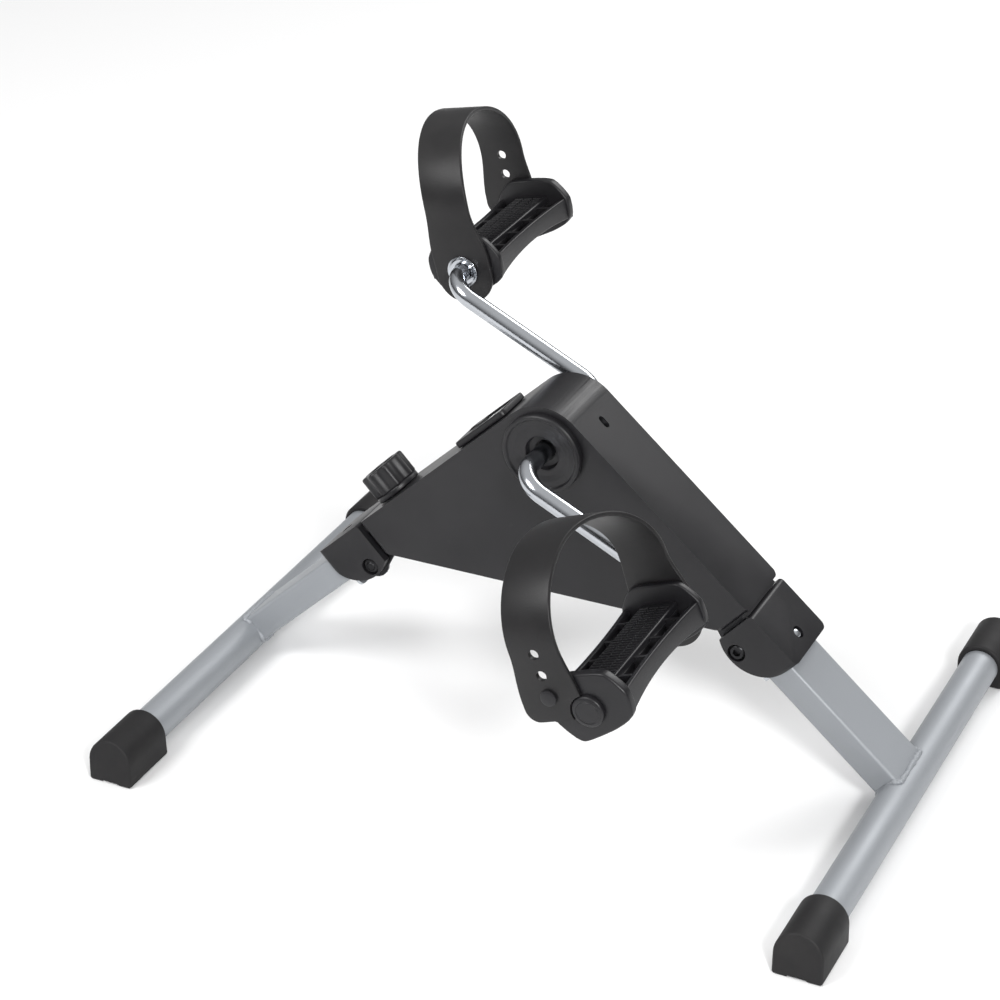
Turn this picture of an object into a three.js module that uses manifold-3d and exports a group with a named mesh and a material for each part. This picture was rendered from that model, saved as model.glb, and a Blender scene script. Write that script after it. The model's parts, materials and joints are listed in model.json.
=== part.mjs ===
// Folding pedal exerciser, in millimetres.
// X points forwards, away from the user; Y to the user's left; Z up, with the floor at 0.
import * as THREE from 'three';
import { mergeVertices } from 'three/addons/utils/BufferGeometryUtils.js';
import Module from 'manifold-3d';

const wasm = await Module();
wasm.setup();

// ---- driving sizes ----
const gap = 0.3; // clearance between neighbouring pieces
const reach = 1; // how far a cutter runs past what it cuts

const barSpacing = 480; // between the centres of the two foot bars
const barLength = 389; // over the rubber caps
const barRadius = 12.5;
const barWall = 1.5;

const capSide = 3.5; // rubber beside and above the bar
const capSole = 2.5; // rubber below the bar
const capLength = 46;
const capEnd = 4;

const apexHeight = 258.5; // where the two top slopes would meet
const crankDrop = 42.3; // crank centre below the apex

const tubeWidth = 40;
const tubeHeight = 20;
const tubeWall = 1.8;
const tubeDepth = 8; // top of the leg tube below the slope plane

const bracketCheek = 5.7; // side wall of a hinge bracket, which the cover's width follows
const bracketLength = 42.6;
const bracketRoof = 7.7;
const lobeRadius = 27.3;
const lobeDepth = 8;

const coverWall = 2.5;
const coverReach = 188; // down the slope from the apex to the cover's end face
const coverRound = 2.5;
const bottomThick = 2.5;

const plateThick = 2;
const plateDepth = 9.2; // top edge of the side plates below the slope
const webRise = 3.7; // chassis web above the underside of the cover

const pivotEye = 10.5;
const pivotBolt = 3; // radius

const rodRadius = 6;
const crankThrow = 126;
const armClear = 37.6; // centre plane of each arm from the side of the cover
const bendRadius = 19;
const crankTurn = THREE.MathUtils.degToRad(27.05); // the right arm points forwards and down

const drumRadius = 18;

const pedalLength = 112.4; // across the shoe, between the outer faces of the cheeks
const pedalHalf = 27; // half length of a pedal, front to back
const deckTop = 11;
const cheekInner = 5;
const cheekOuter = 7;
const rightPitch = THREE.MathUtils.degToRad(20);
const leftPitch = THREE.MathUtils.degToRad(11);

const strapThick = 3;
const strapHeight = 91; // top of the strap above the axle
const strapShoulder = 42; // where the strap's sides start to curve over
const pegHeight = 12;

const displayStart = 43;
const displayEnd = 91;
const displayHalf = 15.5;
const displayRise = 4.8;
const displayDrop = 9;

const knobInset = 25; // tension knob up the slope from the cover's end face
const knobRadius = 16.5;
const knobHeight = 21;
const screwRadius = 2.8;
const nutDepth = 31.3; // top of the tension nut below the slope
const nutThick = 5;
const screwPast = 2.2; // end of the tension screw beyond its nut
const screwClear = 2.48; // the same end above the bottom cover
const leverAlong = 70; // brake lever's pin
const leverDepth = 45;
const padGap = 1;
const padThick = 4;

// ---- sizes that follow ----
const barHeight = barRadius + capSole; // centre of the bar above the floor
const capWidth = 2 * (barRadius + capSide);
const crankHeight = apexHeight - crankDrop;

// The leg tubes' centre lines run into the foot bars, and that sets the slope.
const legDepth = tubeDepth + tubeHeight / 2;
const barDrop = apexHeight - barHeight;
const legSpan = Math.hypot(barDrop, barSpacing / 2);
const slopeAngle = Math.atan2(barDrop, barSpacing / 2) - Math.asin(legDepth / legSpan);

const bracketStart = coverReach + 3;
const bracketEnd = bracketStart + bracketLength;
const pivotAlong = bracketStart + 13.4;
const pivotDepth = tubeDepth + tubeHeight;
const lobeAlong = pivotAlong + 1.6;
const plateEnd = pivotAlong - 8.4; // where the top edge of the side plates turns down to the pivot
const tubeStart = pivotAlong + pivotEye + 1.6;
const screwAlong = tubeStart + 5;
const knobAlong = coverReach - knobInset;

const plateOuter = tubeWidth / 2 - gap;
const plateInner = plateOuter - plateThick;
const coverHalf = tubeWidth / 2 + gap + bracketCheek;
const innerHalf = coverHalf - coverWall;
const hubHalf = plateInner - 0.7;
const hubRadius = rodRadius + 5;
const drumHalf = hubHalf - 6;

const armOffset = coverHalf + armClear;
const pedalInner = armOffset + bendRadius + 6;
const pedalOuter = pedalInner + pedalLength;
const sleeveRadius = rodRadius + 5;
const washerRadius = rodRadius + 5;
const rodEnd = pedalOuter - 11;
const nutSeat = pedalOuter - 17;
const pegAlong = -(pedalHalf - 6); // strap peg behind the axle

// ---- colours ----
const finish = {
  shell: { color: 0x1b1b1d, roughness: 0.55, metalness: 0 },
  rubber: { color: 0x161617, roughness: 0.85, metalness: 0 },
  paint: { color: 0xb4b6b8, roughness: 0.4, metalness: 0.6 },
  chrome: { color: 0xd2d4d6, roughness: 0.2, metalness: 1 },
  steel: { color: 0x9a9b9c, roughness: 0.4, metalness: 1 },
  nylon: { color: 0xdcdad2, roughness: 0.6, metalness: 0 },
  lens: { color: 0x6f7a78, roughness: 0.1, metalness: 0, transparent: true, opacity: 0.5 },
  board: { color: 0x1f5a3a, roughness: 0.5, metalness: 0 },
  screen: { color: 0x8e9a86, roughness: 0.3, metalness: 0 },
  felt: { color: 0x5b4a3c, roughness: 0.95, metalness: 0 },
};

// ---- joins and cuts ----
function toManifold(geometry) {
  const plain = geometry.clone();
  plain.deleteAttribute('normal');
  plain.deleteAttribute('uv');
  const welded = mergeVertices(plain, 1e-3);
  const mesh = new wasm.Mesh({
    numProp: 3,
    vertProperties: new Float32Array(welded.attributes.position.array),
    triVerts: new Uint32Array(welded.index.array),
  });
  mesh.merge();
  return new wasm.Manifold(mesh);
}

function toGeometry(manifold) {
  const mesh = manifold.getMesh();
  const geometry = new THREE.BufferGeometry();
  geometry.setAttribute('position', new THREE.BufferAttribute(mesh.vertProperties, 3));
  geometry.setIndex(new THREE.BufferAttribute(mesh.triVerts, 1));
  return geometry;
}

function combine(base, { add = [], cut = [] }) {
  let solid = toManifold(base);
  for (const piece of add) solid = solid.add(toManifold(piece));
  for (const piece of cut) solid = solid.subtract(toManifold(piece));
  return toGeometry(solid);
}

// ---- shapes ----
// Every helper that has a "from" and a "to" runs along Y; the outline is in X and Z.
function outline(points) {
  return new THREE.Shape(points.map(([x, z]) => new THREE.Vector2(x, z)));
}

function slab(shape, from, to, bevel = 0, curveSegments = 6) {
  const low = Math.min(from, to);
  const depth = Math.abs(to - from);
  const geometry = new THREE.ExtrudeGeometry(shape, {
    depth: depth - 2 * bevel,
    bevelEnabled: bevel > 0,
    bevelSize: bevel,
    bevelThickness: bevel,
    bevelOffset: -bevel,
    bevelSegments: 1,
    curveSegments,
  });
  geometry.rotateX(Math.PI / 2);
  geometry.translate(0, low + depth - bevel, 0);
  return geometry;
}

// The same, with the outline in X and Y and the thickness along Z.
function upright(shape, from, to, bevel) {
  return slab(shape, from, to, bevel).rotateX(Math.PI / 2);
}

function box(x, y, z) {
  const geometry = new THREE.BoxGeometry(x[1] - x[0], y[1] - y[0], z[1] - z[0]);
  return geometry.translate((x[0] + x[1]) / 2, (y[0] + y[1]) / 2, (z[0] + z[1]) / 2);
}

function rod(radius, from, to, x = 0, z = 0, segments = 20) {
  const geometry = new THREE.CylinderGeometry(radius, radius, Math.abs(to - from), segments);
  return geometry.translate(x, (from + to) / 2, z);
}

function post(radius, from, to, x = 0, y = 0, segments = 20) {
  const geometry = new THREE.CylinderGeometry(radius, radius, to - from, segments);
  geometry.rotateX(Math.PI / 2);
  return geometry.translate(x, y, (from + to) / 2);
}

// A turned piece about Y from points of [radius, distance along Y]; side -1 mirrors it.
function turned(points, side = 1, segments = 32) {
  const ring = side > 0 ? points : points.map(([r, y]) => [r, -y]).reverse();
  const closed = ring[0][0] > 0 ? [...ring, ring[0]] : ring;
  return new THREE.LatheGeometry(closed.map(([r, y]) => new THREE.Vector2(r, y)), segments);
}

function hexRod(radius, from, to, x, z) {
  return rod(radius, from, to, x, z, 6);
}

function roundedRect(x, z, radius) {
  const shape = new THREE.Shape();
  shape.moveTo(x[0] + radius, z[0]);
  shape.lineTo(x[1] - radius, z[0]);
  shape.absarc(x[1] - radius, z[0] + radius, radius, -Math.PI / 2, 0);
  shape.lineTo(x[1], z[1] - radius);
  shape.absarc(x[1] - radius, z[1] - radius, radius, 0, Math.PI / 2);
  shape.lineTo(x[0] + radius, z[1]);
  shape.absarc(x[0] + radius, z[1] - radius, radius, Math.PI / 2, Math.PI);
  shape.lineTo(x[0], z[0] + radius);
  shape.absarc(x[0] + radius, z[0] + radius, radius, Math.PI, 1.5 * Math.PI);
  return shape;
}

// ---- the slope frame ----
// "along" runs down a top slope from the apex and "up" stands square to it.
const cosine = Math.cos(slopeAngle);
const sine = Math.sin(slopeAngle);
const fromSlope = (along, up) => [
  along * cosine + up * sine,
  apexHeight - along * sine + up * cosine,
];
const toSlope = (x, z) => [
  x * cosine - (z - apexHeight) * sine,
  x * sine + (z - apexHeight) * cosine,
];
const crankSlope = toSlope(0, crankHeight);
const barSlope = toSlope(barSpacing / 2, barHeight);
const pivot = fromSlope(pivotAlong, -pivotDepth);
const screwEnd = -nutDepth - nutThick - screwPast;
const coverFloor = fromSlope(knobAlong + screwRadius, screwEnd)[1] - screwClear - bottomThick;
const webHeight = coverFloor + webRise;

// The house-shaped outline shared by the cover and the chassis, a given depth under the slopes.
function roofOutline(depth, end, floor) {
  const radius = -crankSlope[1] - depth;
  const [endX, endZ] = fromSlope(end, -depth);
  const footX = endX - (endZ - floor) * (sine / cosine);
  const shape = new THREE.Shape();
  shape.moveTo(footX, floor);
  shape.lineTo(endX, endZ);
  shape.absarc(0, crankHeight, radius, Math.PI / 2 - slopeAngle, Math.PI / 2 + slopeAngle);
  shape.lineTo(-endX, endZ);
  shape.lineTo(-footX, floor);
  shape.closePath();
  return shape;
}

// ---- assembly ----
const model = new THREE.Group();

function slopeGroup(side) {
  const turn = new THREE.Group();
  turn.rotation.z = side > 0 ? 0 : Math.PI;
  const slope = new THREE.Group();
  slope.position.z = apexHeight;
  slope.rotation.y = slopeAngle;
  turn.add(slope);
  model.add(turn);
  return { turn, slope };
}

const front = slopeGroup(1);
const rear = slopeGroup(-1);

function place(parent, name, geometry, look) {
  const mesh = new THREE.Mesh(geometry, new THREE.MeshStandardMaterial(finish[look]));
  mesh.name = name;
  parent.add(mesh);
}

// A cutter or an added piece given in one slope's frame, moved to the main frame.
function inMain(geometry, side) {
  const place3 = new THREE.Matrix4().makeRotationZ(side > 0 ? 0 : Math.PI);
  place3.multiply(new THREE.Matrix4().makeTranslation(0, 0, apexHeight));
  place3.multiply(new THREE.Matrix4().makeRotationY(slopeAngle));
  return geometry.applyMatrix4(place3);
}

// ---- covers ----
const crankHole = rodRadius + 7;
const coverScrewAlong = 40.6;
const slotLength = 9;
const slotWidth = 5;
const slotDepth = 5;
const postDepth = plateDepth - gap;
const bottomScrewX = 70;
const bottomTop = coverFloor + bottomThick;
const displayBody = { s: [displayStart + 4, displayEnd - 3], half: displayHalf - 3 };

function mainCover() {
  const shell = slab(roofOutline(0, coverReach, coverFloor), -coverHalf, coverHalf, coverRound);
  const inside = slab(
    roofOutline(coverWall, coverReach - coverWall, coverFloor - 2 * reach),
    -innerHalf,
    innerHalf,
  );
  const notch = () => box(
    [coverReach - coverWall - reach, coverReach + reach],
    [-plateOuter - 0.5, plateOuter + 0.5],
    [-coverReach / 4, -plateDepth + 0.7],
  );
  const slotHalf = (slotLength - slotWidth) / 2;
  const slot = [-1, 1].map((end) => inMain(
    post(slotWidth / 2, -slotDepth, reach, coverScrewAlong + end * slotHalf),
    1,
  ));
  slot.push(inMain(box(
    [coverScrewAlong - slotHalf, coverScrewAlong + slotHalf],
    [-slotWidth / 2, slotWidth / 2],
    [-slotDepth, reach],
  ), 1));
  const boss = inMain(
    roundPost(coverScrewAlong, slotLength / 2 + 1.5, -postDepth, -coverWall / 2),
    1,
  );
  const screwBore = inMain(post(1.8, -postDepth - reach, 0, coverScrewAlong), 1);
  const window = inMain(box(
    [displayBody.s[0] - gap, displayBody.s[1] + gap],
    [-displayBody.half - gap, displayBody.half + gap],
    [-coverWall - reach, reach],
  ), -1);
  const knobHole = inMain(post(screwRadius + 0.6, -coverWall - reach, reach, knobAlong), -1);
  const crankBore = rod(crankHole, -coverHalf - reach, coverHalf + reach, 0, crankHeight, 32);
  const hollow = combine(shell, { cut: [inside] });
  return combine(hollow, {
    add: [boss],
    cut: [inMain(notch(), 1), inMain(notch(), -1), ...slot, screwBore, window, knobHole, crankBore],
  });
}

function roundPost(along, radius, from, to) {
  return post(radius, from, to, along);
}

function bottomCover() {
  const [endX, endZ] = fromSlope(coverReach - coverWall, -coverWall);
  const half = endX - (endZ - coverFloor) * (sine / cosine) - gap;
  const plate = box([-half, half], [-innerHalf + gap, innerHalf - gap], [coverFloor, bottomTop]);
  const cut = [];
  for (const end of [-1, 1]) {
    cut.push(post(2, coverFloor - reach, bottomTop + reach, end * bottomScrewX));
    cut.push(post(3.9, coverFloor - reach, coverFloor + 1.5, end * bottomScrewX));
    cut.push(box(
      [end * half - 12, end * half + 12],
      [-plateOuter - 0.5, plateOuter + 0.5],
      [coverFloor - reach, bottomTop + reach],
    ));
  }
  return combine(plate, { cut });
}

function screw(headRadius, headThick, shankRadius, length) {
  return new THREE.LatheGeometry(
    [
      [0, -length],
      [shankRadius, -length],
      [shankRadius, -headThick],
      [headRadius, -headThick],
      [headRadius * 0.8, 0],
      [0, 0],
    ].map(([r, y]) => new THREE.Vector2(r, y)),
    20,
  ).rotateX(Math.PI / 2);
}

place(model, 'main_cover', mainCover(), 'shell');
place(model, 'bottom_cover', bottomCover(), 'shell');
for (const [name, end] of [['front', 1], ['rear', -1]]) {
  const bottomScrew = screw(3.5, 1.2, 1.6, 10).rotateX(Math.PI);
  bottomScrew.translate(end * bottomScrewX, 0, coverFloor + 0.1);
  place(model, `${name}_bottom_screw`, bottomScrew, 'steel');
}
const coverScrew = screw(2.1, 1.5, 1.4, 10);
coverScrew.translate(coverScrewAlong, 0, -slotDepth + 1.5 + gap);
place(front.slope, 'cover_screw', coverScrew, 'steel');

// ---- chassis ----
const bushHole = rodRadius + 3;
const leverPin = 2.5;
const tabAlong = [34, 48];
const nutHalf = 5;
const webReach = fromSlope(knobAlong - nutHalf, -nutDepth - nutThick)[0] - 8.2;

function chassisOutline() {
  const radius = -crankSlope[1] - plateDepth;
  const [endX, endZ] = fromSlope(plateEnd, -plateDepth);
  const [eyeX, eyeZ] = pivot;
  const footX = eyeX - pivotEye - 9;
  const shape = new THREE.Shape();
  shape.moveTo(footX, webHeight);
  shape.lineTo(eyeX - pivotEye, eyeZ);
  shape.absarc(eyeX, eyeZ, pivotEye, Math.PI, 2 * Math.PI + Math.PI / 6);
  shape.lineTo(endX, endZ);
  shape.absarc(0, crankHeight, radius, Math.PI / 2 - slopeAngle, Math.PI / 2 + slopeAngle);
  shape.lineTo(-endX, endZ);
  shape.absarc(-eyeX, eyeZ, pivotEye, Math.PI - Math.PI / 6, 2 * Math.PI);
  shape.lineTo(-footX, webHeight);
  shape.closePath();
  return shape;
}

function chassis() {
  const plates = [-1, 1].map((side) => slab(chassisOutline(), side * plateInner, side * plateOuter));
  const web = box([-webReach, webReach], [-plateInner - 1, plateInner + 1], [webHeight, webHeight + 2]);
  const tab = inMain(box(tabAlong, [-plateInner - 1, plateInner + 1], [-plateDepth - 2, -plateDepth]), 1);
  const all = [-plateOuter - reach, plateOuter + reach];
  const lever = fromSlope(leverAlong, -leverDepth);
  return combine(plates[0], {
    add: [plates[1], web, tab],
    cut: [
      rod(bushHole, ...all, 0, crankHeight, 32),
      rod(pivotBolt + gap, ...all, pivot[0], pivot[1]),
      rod(pivotBolt + gap, ...all, -pivot[0], pivot[1]),
      rod(leverPin + gap / 2, ...all, -lever[0], lever[1]),
      inMain(post(1.6, -plateDepth - 2 - reach, -plateDepth + reach, coverScrewAlong), 1),
      post(1.8, webHeight - reach, webHeight + 2 + reach, bottomScrewX),
      post(1.8, webHeight - reach, webHeight + 2 + reach, -bottomScrewX),
    ],
  });
}

place(model, 'chassis', chassis(), 'steel');

const bushProfile = [
  [rodRadius + gap, hubHalf + gap],
  [bushHole - gap, hubHalf + gap],
  [bushHole - gap, plateOuter + gap],
  [bushHole + 2.5, plateOuter + gap],
  [bushHole + 2.5, plateOuter + 2],
  [rodRadius + gap, plateOuter + 2],
];
const coverFace = coverHalf + gap;
const dishProfile = [
  [rodRadius + 1.2, innerHalf],
  [crankHole - gap, innerHalf],
  [crankHole - gap, coverFace],
  [27, coverFace],
  [27, coverFace + 4],
  [26.2, coverFace + 5],
  [24.8, coverFace + 5],
  [24, coverFace + 3.7],
  [20, coverFace + 3.5],
  [16.5, coverFace + 2.6],
  [9.5, coverFace + 1.4],
  [rodRadius + 1.2, coverFace + 1.3],
];
for (const [name, side] of [['right', -1], ['left', 1]]) {
  place(model, `${name}_crank_bush`, turned(bushProfile, side).translate(0, 0, crankHeight), 'nylon');
  place(model, `${name}_crank_cover`, turned(dishProfile, side, 32).translate(0, 0, crankHeight), 'shell');
}

const sensorAt = [-7, 7];
const sensorBelow = 14.5;
place(model, 'speed_sensor', box(
  sensorAt,
  [plateInner - 3.5, plateInner - gap],
  [crankHeight - sensorBelow - 2, crankHeight - sensorBelow + 2],
), 'shell');

// ---- display, on the rear slope ----
const lensArea = { s: [displayStart + 3.5, displayStart + 32.5], half: displayHalf - 3 };
const windowArea = { s: [displayStart + 7, displayStart + 30], half: displayHalf - 6 };
const cavityHalf = displayBody.half - 1.7;
const displayRoof = 2.6;
const lensSeat = 3.3;
const buttonAlong = displayEnd - 10;
const buttonRadius = 3.2;
const boardTop = -1;

function area({ s, half }, up, grow = 0) {
  return box([s[0] - grow, s[1] + grow], [-half - grow, half + grow], up);
}

function displayCase() {
  const rim = roundedRect([displayStart, displayEnd], [-displayHalf, displayHalf], 4);
  const face = upright(rim, gap, displayRise, 0.8);
  const cavity = { s: [displayBody.s[0] + 2, displayBody.s[1] - 2], half: cavityHalf };
  return combine(face, {
    add: [area(displayBody, [-displayDrop, 2 * gap])],
    cut: [
      area(cavity, [-displayDrop - reach, displayRoof]),
      area(windowArea, [0, displayRise + reach]),
      area(lensArea, [lensSeat, displayRise + reach], gap),
      post(buttonRadius + gap, 0, displayRise + reach, buttonAlong),
    ],
  });
}

const boardArea = { s: [displayBody.s[0] + 2.5, displayBody.s[1] - 2.5], half: cavityHalf - 0.6 };
const screenArea = { s: [windowArea.s[0] - 1, windowArea.s[1] + 1], half: windowArea.half };
place(rear.slope, 'display_case', displayCase(), 'shell');
place(rear.slope, 'display_lens', area(lensArea, [lensSeat + gap, displayRise]), 'lens');
place(rear.slope, 'display_board', area(boardArea, [boardTop - 1.6, boardTop]), 'board');
place(rear.slope, 'display_screen', area(screenArea, [boardTop + gap, displayRoof - gap]), 'screen');
place(rear.slope, 'coin_cell', post(8, -6.4, boardTop - 1.6 - gap, displayStart + 26), 'steel');
place(rear.slope, 'display_button', combine(post(buttonRadius, 0, displayRise + 0.9, buttonAlong), {
  add: [post(buttonRadius + 1.2, 1.1, displayRoof - gap, buttonAlong)],
}), 'rubber');

// ---- tension control, on the rear slope ----
const leverHalf = drumHalf - 3;
const nutTop = -nutDepth;

function knob() {
  const shape = new THREE.Shape();
  const lobes = 8;
  const steps = lobes * 6;
  for (let i = 0; i < steps; i += 1) {
    const angle = (i / steps) * 2 * Math.PI;
    const radius = knobRadius - 0.9 + 0.9 * Math.cos(lobes * angle);
    const point = [knobAlong + radius * Math.cos(angle), radius * Math.sin(angle)];
    if (i === 0) shape.moveTo(...point);
    else shape.lineTo(...point);
  }
  shape.closePath();
  const body = upright(shape, 2 * gap, knobHeight, 1.5);
  return combine(body, { cut: [post(screwRadius + gap, -reach, knobHeight - 7, knobAlong)] });
}

function tensionScrew() {
  const profile = [
    [0, screwEnd],
    [screwRadius, screwEnd],
    [screwRadius, -5],
    [6, -5],
    [6, -coverWall - 0.5],
    [screwRadius, -coverWall - 0.5],
    [screwRadius, knobHeight - 7.5],
    [0, knobHeight - 7.5],
  ];
  const geometry = new THREE.LatheGeometry(profile.map(([r, y]) => new THREE.Vector2(r, y)), 20);
  return geometry.rotateX(Math.PI / 2).translate(knobAlong, 0, 0);
}

const nut = combine(box(
  [knobAlong - nutHalf, knobAlong + nutHalf],
  [-nutHalf, nutHalf],
  [nutTop - nutThick, nutTop],
), { cut: [post(screwRadius + gap, nutTop - nutThick - reach, nutTop + reach, knobAlong)] });

// The pad hugs the drum; its middle sits this far round from the slope direction.
const padMiddle = THREE.MathUtils.degToRad(25);
const padSpread = THREE.MathUtils.degToRad(20);
const padInner = drumRadius + padGap;
const padOuter = padInner + padThick;

function brakePad() {
  const [s, n] = crankSlope;
  const shape = new THREE.Shape();
  shape.absarc(s, n, padOuter, padMiddle - padSpread, padMiddle + padSpread);
  shape.absarc(s, n, padInner, padMiddle + padSpread, padMiddle - padSpread, true);
  shape.closePath();
  return slab(shape, -leverHalf, leverHalf);
}

function brakeLever() {
  const [s, n] = crankSlope;
  const back = padOuter + gap;
  const shape = new THREE.Shape();
  shape.absarc(s, n, back, padMiddle + padSpread, padMiddle - padSpread, true);
  shape.absarc(leverAlong, -leverDepth, 7, Math.PI, 1.5 * Math.PI);
  shape.lineTo(knobAlong - 13, nutTop + gap);
  shape.lineTo(knobAlong + 9, nutTop + gap);
  shape.lineTo(knobAlong + 9, nutTop + 6);
  shape.lineTo(knobAlong - 13, nutTop + 6);
  shape.lineTo(leverAlong + 8, -leverDepth + 7);
  shape.lineTo(s + back + 6, n + 6);
  const tip = padMiddle + padSpread;
  shape.lineTo(s + back * Math.cos(tip) + 3, n + back * Math.sin(tip) + 1);
  shape.closePath();
  return combine(slab(shape, -leverHalf, leverHalf), {
    cut: [
      rod(leverPin + gap, -leverHalf - reach, leverHalf + reach, leverAlong, -leverDepth),
      post(screwRadius + 1.2, nutTop - reach, nutTop + 8, knobAlong),
    ],
  });
}

place(rear.slope, 'tension_knob', knob(), 'shell');
place(rear.slope, 'tension_screw', tensionScrew(), 'steel');
place(rear.slope, 'tension_nut', nut, 'steel');
place(rear.slope, 'brake_lever', brakeLever(), 'steel');
place(rear.slope, 'brake_pad', brakePad(), 'felt');
const pinHalf = plateOuter + 1;
place(rear.slope, 'lever_pin', rod(leverPin, -pinHalf, pinHalf, leverAlong, -leverDepth), 'steel');

// ---- legs ----
const headRecess = 6.1;
const recessDepth = 3.4;
const latchHalf = 6;
const latchFinger = 15; // half width of the finger tab below the tube
const latchBottom = -pivotDepth + tubeWall + 1;
const latchTop = latchBottom + 6.7;
const latchTab = [tubeStart + 13.5, tubeStart + 15.7];
const latchTravel = 6;

function legTube() {
  const end = barSlope[0];
  const half = tubeWidth / 2;
  const shape = roundedRect([-half, half], [-tubeDepth - tubeHeight, -tubeDepth], 3);
  shape.holes.push(roundedRect(
    [-half + tubeWall, half - tubeWall],
    [-tubeDepth - tubeHeight + tubeWall, -tubeDepth - tubeWall],
    1.5,
  ));
  // the section is drawn across and up, then run down the slope
  const tube = slab(shape, 0, end - tubeStart, 0, 4).rotateZ(Math.PI / 2).translate(end, 0, 0);
  return combine(tube, {
    cut: [
      rod(barRadius + gap, -half - reach, half + reach, barSlope[0], barSlope[1], 32),
      box(
        [latchTab[0] - 0.8, latchTab[1] + latchTravel + 0.8],
        [-latchHalf - 0.5, latchHalf + 0.5],
        [-tubeDepth - tubeHeight - reach, -tubeDepth - tubeHeight / 2 - 2],
      ),
      post(1.9, -tubeDepth - tubeWall - reach, -tubeDepth + reach, screwAlong),
    ],
  });
}

function hingeBracket() {
  const reachBack = Math.sqrt(lobeRadius ** 2 - (lobeAlong - bracketStart) ** 2);
  const startAngle = Math.atan2(-reachBack, bracketStart - lobeAlong);
  const corner = 3;
  const shape = new THREE.Shape();
  shape.moveTo(bracketStart, -corner);
  shape.lineTo(bracketStart, -lobeDepth - reachBack);
  shape.absarc(lobeAlong, -lobeDepth, lobeRadius, startAngle, 0);
  shape.lineTo(bracketEnd, 0);
  shape.lineTo(bracketStart + corner, 0);
  shape.absarc(bracketStart + corner, -corner, corner, Math.PI / 2, Math.PI);
  const inside = tubeWidth / 2 + gap;
  return combine(slab(shape, -coverHalf, coverHalf, 2), {
    cut: [
      box(
        [bracketStart - reach, bracketEnd + reach],
        [-inside, inside],
        [-lobeDepth - lobeRadius - reach, -bracketRoof],
      ),
      rod(pivotBolt + gap, -coverHalf - reach, coverHalf + reach, pivotAlong, -pivotDepth),
      rod(headRecess, -coverHalf - reach, -coverHalf + recessDepth, pivotAlong, -pivotDepth),
      rod(headRecess, coverHalf - recessDepth, coverHalf + reach, pivotAlong, -pivotDepth),
      post(2.2, -bracketRoof - reach, reach, screwAlong),
      post(4.2, -2.2, reach, screwAlong),
    ],
  });
}

function pivotBoltShape() {
  const head = -coverHalf + 0.3;
  const shoulder = -coverHalf + recessDepth - gap;
  const shaft = rod(pivotBolt, shoulder - 0.5, coverHalf - 0.5, pivotAlong, -pivotDepth);
  return combine(rod(5, head, shoulder, pivotAlong, -pivotDepth), {
    add: [shaft],
    cut: [hexRod(2.6, head - reach, head + 2, pivotAlong, -pivotDepth)],
  });
}

function pivotNutShape() {
  const inner = coverHalf - recessDepth + gap;
  return combine(hexRod(5.6, inner, coverHalf - 0.7, pivotAlong, -pivotDepth), {
    cut: [rod(pivotBolt + 0.15, inner - reach, coverHalf + reach, pivotAlong, -pivotDepth)],
  });
}

function bracketScrew() {
  return screw(3.8, 1.9, 1.6, 11.5).translate(screwAlong, 0, -0.2);
}

function latch() {
  const nose = pivotAlong + pivotEye + 0.4;
  return combine(box([nose, latchTab[1] + 12], [-latchHalf, latchHalf], [latchBottom, latchTop]), {
    add: [
      box(latchTab, [-latchHalf, latchHalf], [-pivotDepth - 8.5, latchBottom + 1]),
      box(latchTab, [-latchFinger, latchFinger], [-pivotDepth - 8.5, -pivotDepth - 2 * gap]),
    ],
  });
}

function footCap(side) {
  const half = capWidth / 2;
  const x = barSpacing / 2;
  const outer = side * barLength / 2;
  const inner = outer - side * capLength;
  const shape = new THREE.Shape();
  shape.moveTo(x - half, 0);
  shape.lineTo(x + half, 0);
  shape.absarc(x, barHeight, half, 0, Math.PI);
  shape.closePath();
  return combine(slab(shape, inner, outer, 1.5, 8), {
    cut: [rod(barRadius + gap, inner - side * reach, outer - side * capEnd, x, barHeight, 32)],
  });
}

function footBar() {
  const half = barLength / 2 - capEnd - gap;
  return turned([
    [barRadius, -half],
    [barRadius, half],
    [barRadius - barWall, half],
    [barRadius - barWall, -half],
  ]).translate(barSpacing / 2, 0, barHeight);
}

function hingeSpacer() {
  const half = plateInner - gap;
  return turned([
    [pivotBolt + gap, -half],
    [6, -half],
    [6, half],
    [pivotBolt + gap, half],
  ], 1, 24).translate(pivotAlong, 0, -pivotDepth);
}

for (const [name, { turn, slope }, flip] of [['front', front, 1], ['rear', rear, -1]]) {
  place(turn, `${name}_foot_bar`, footBar(), 'paint');
  place(turn, `${name}_right_foot_cap`, footCap(-flip), 'rubber');
  place(turn, `${name}_left_foot_cap`, footCap(flip), 'rubber');
  place(slope, `${name}_leg_tube`, legTube(), 'paint');
  place(slope, `${name}_hinge_bracket`, hingeBracket(), 'shell');
  place(slope, `${name}_bracket_screw`, bracketScrew(), 'chrome');
  place(slope, `${name}_pivot_bolt`, pivotBoltShape(), 'steel');
  place(slope, `${name}_pivot_nut`, pivotNutShape(), 'steel');
  place(slope, `${name}_hinge_spacer`, hingeSpacer(), 'steel');
  place(slope, `${name}_latch`, latch(), 'chrome');
}

// ---- crank ----
const crank = new THREE.Group();
crank.position.z = crankHeight;
crank.rotation.y = crankTurn;
model.add(crank);

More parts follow.
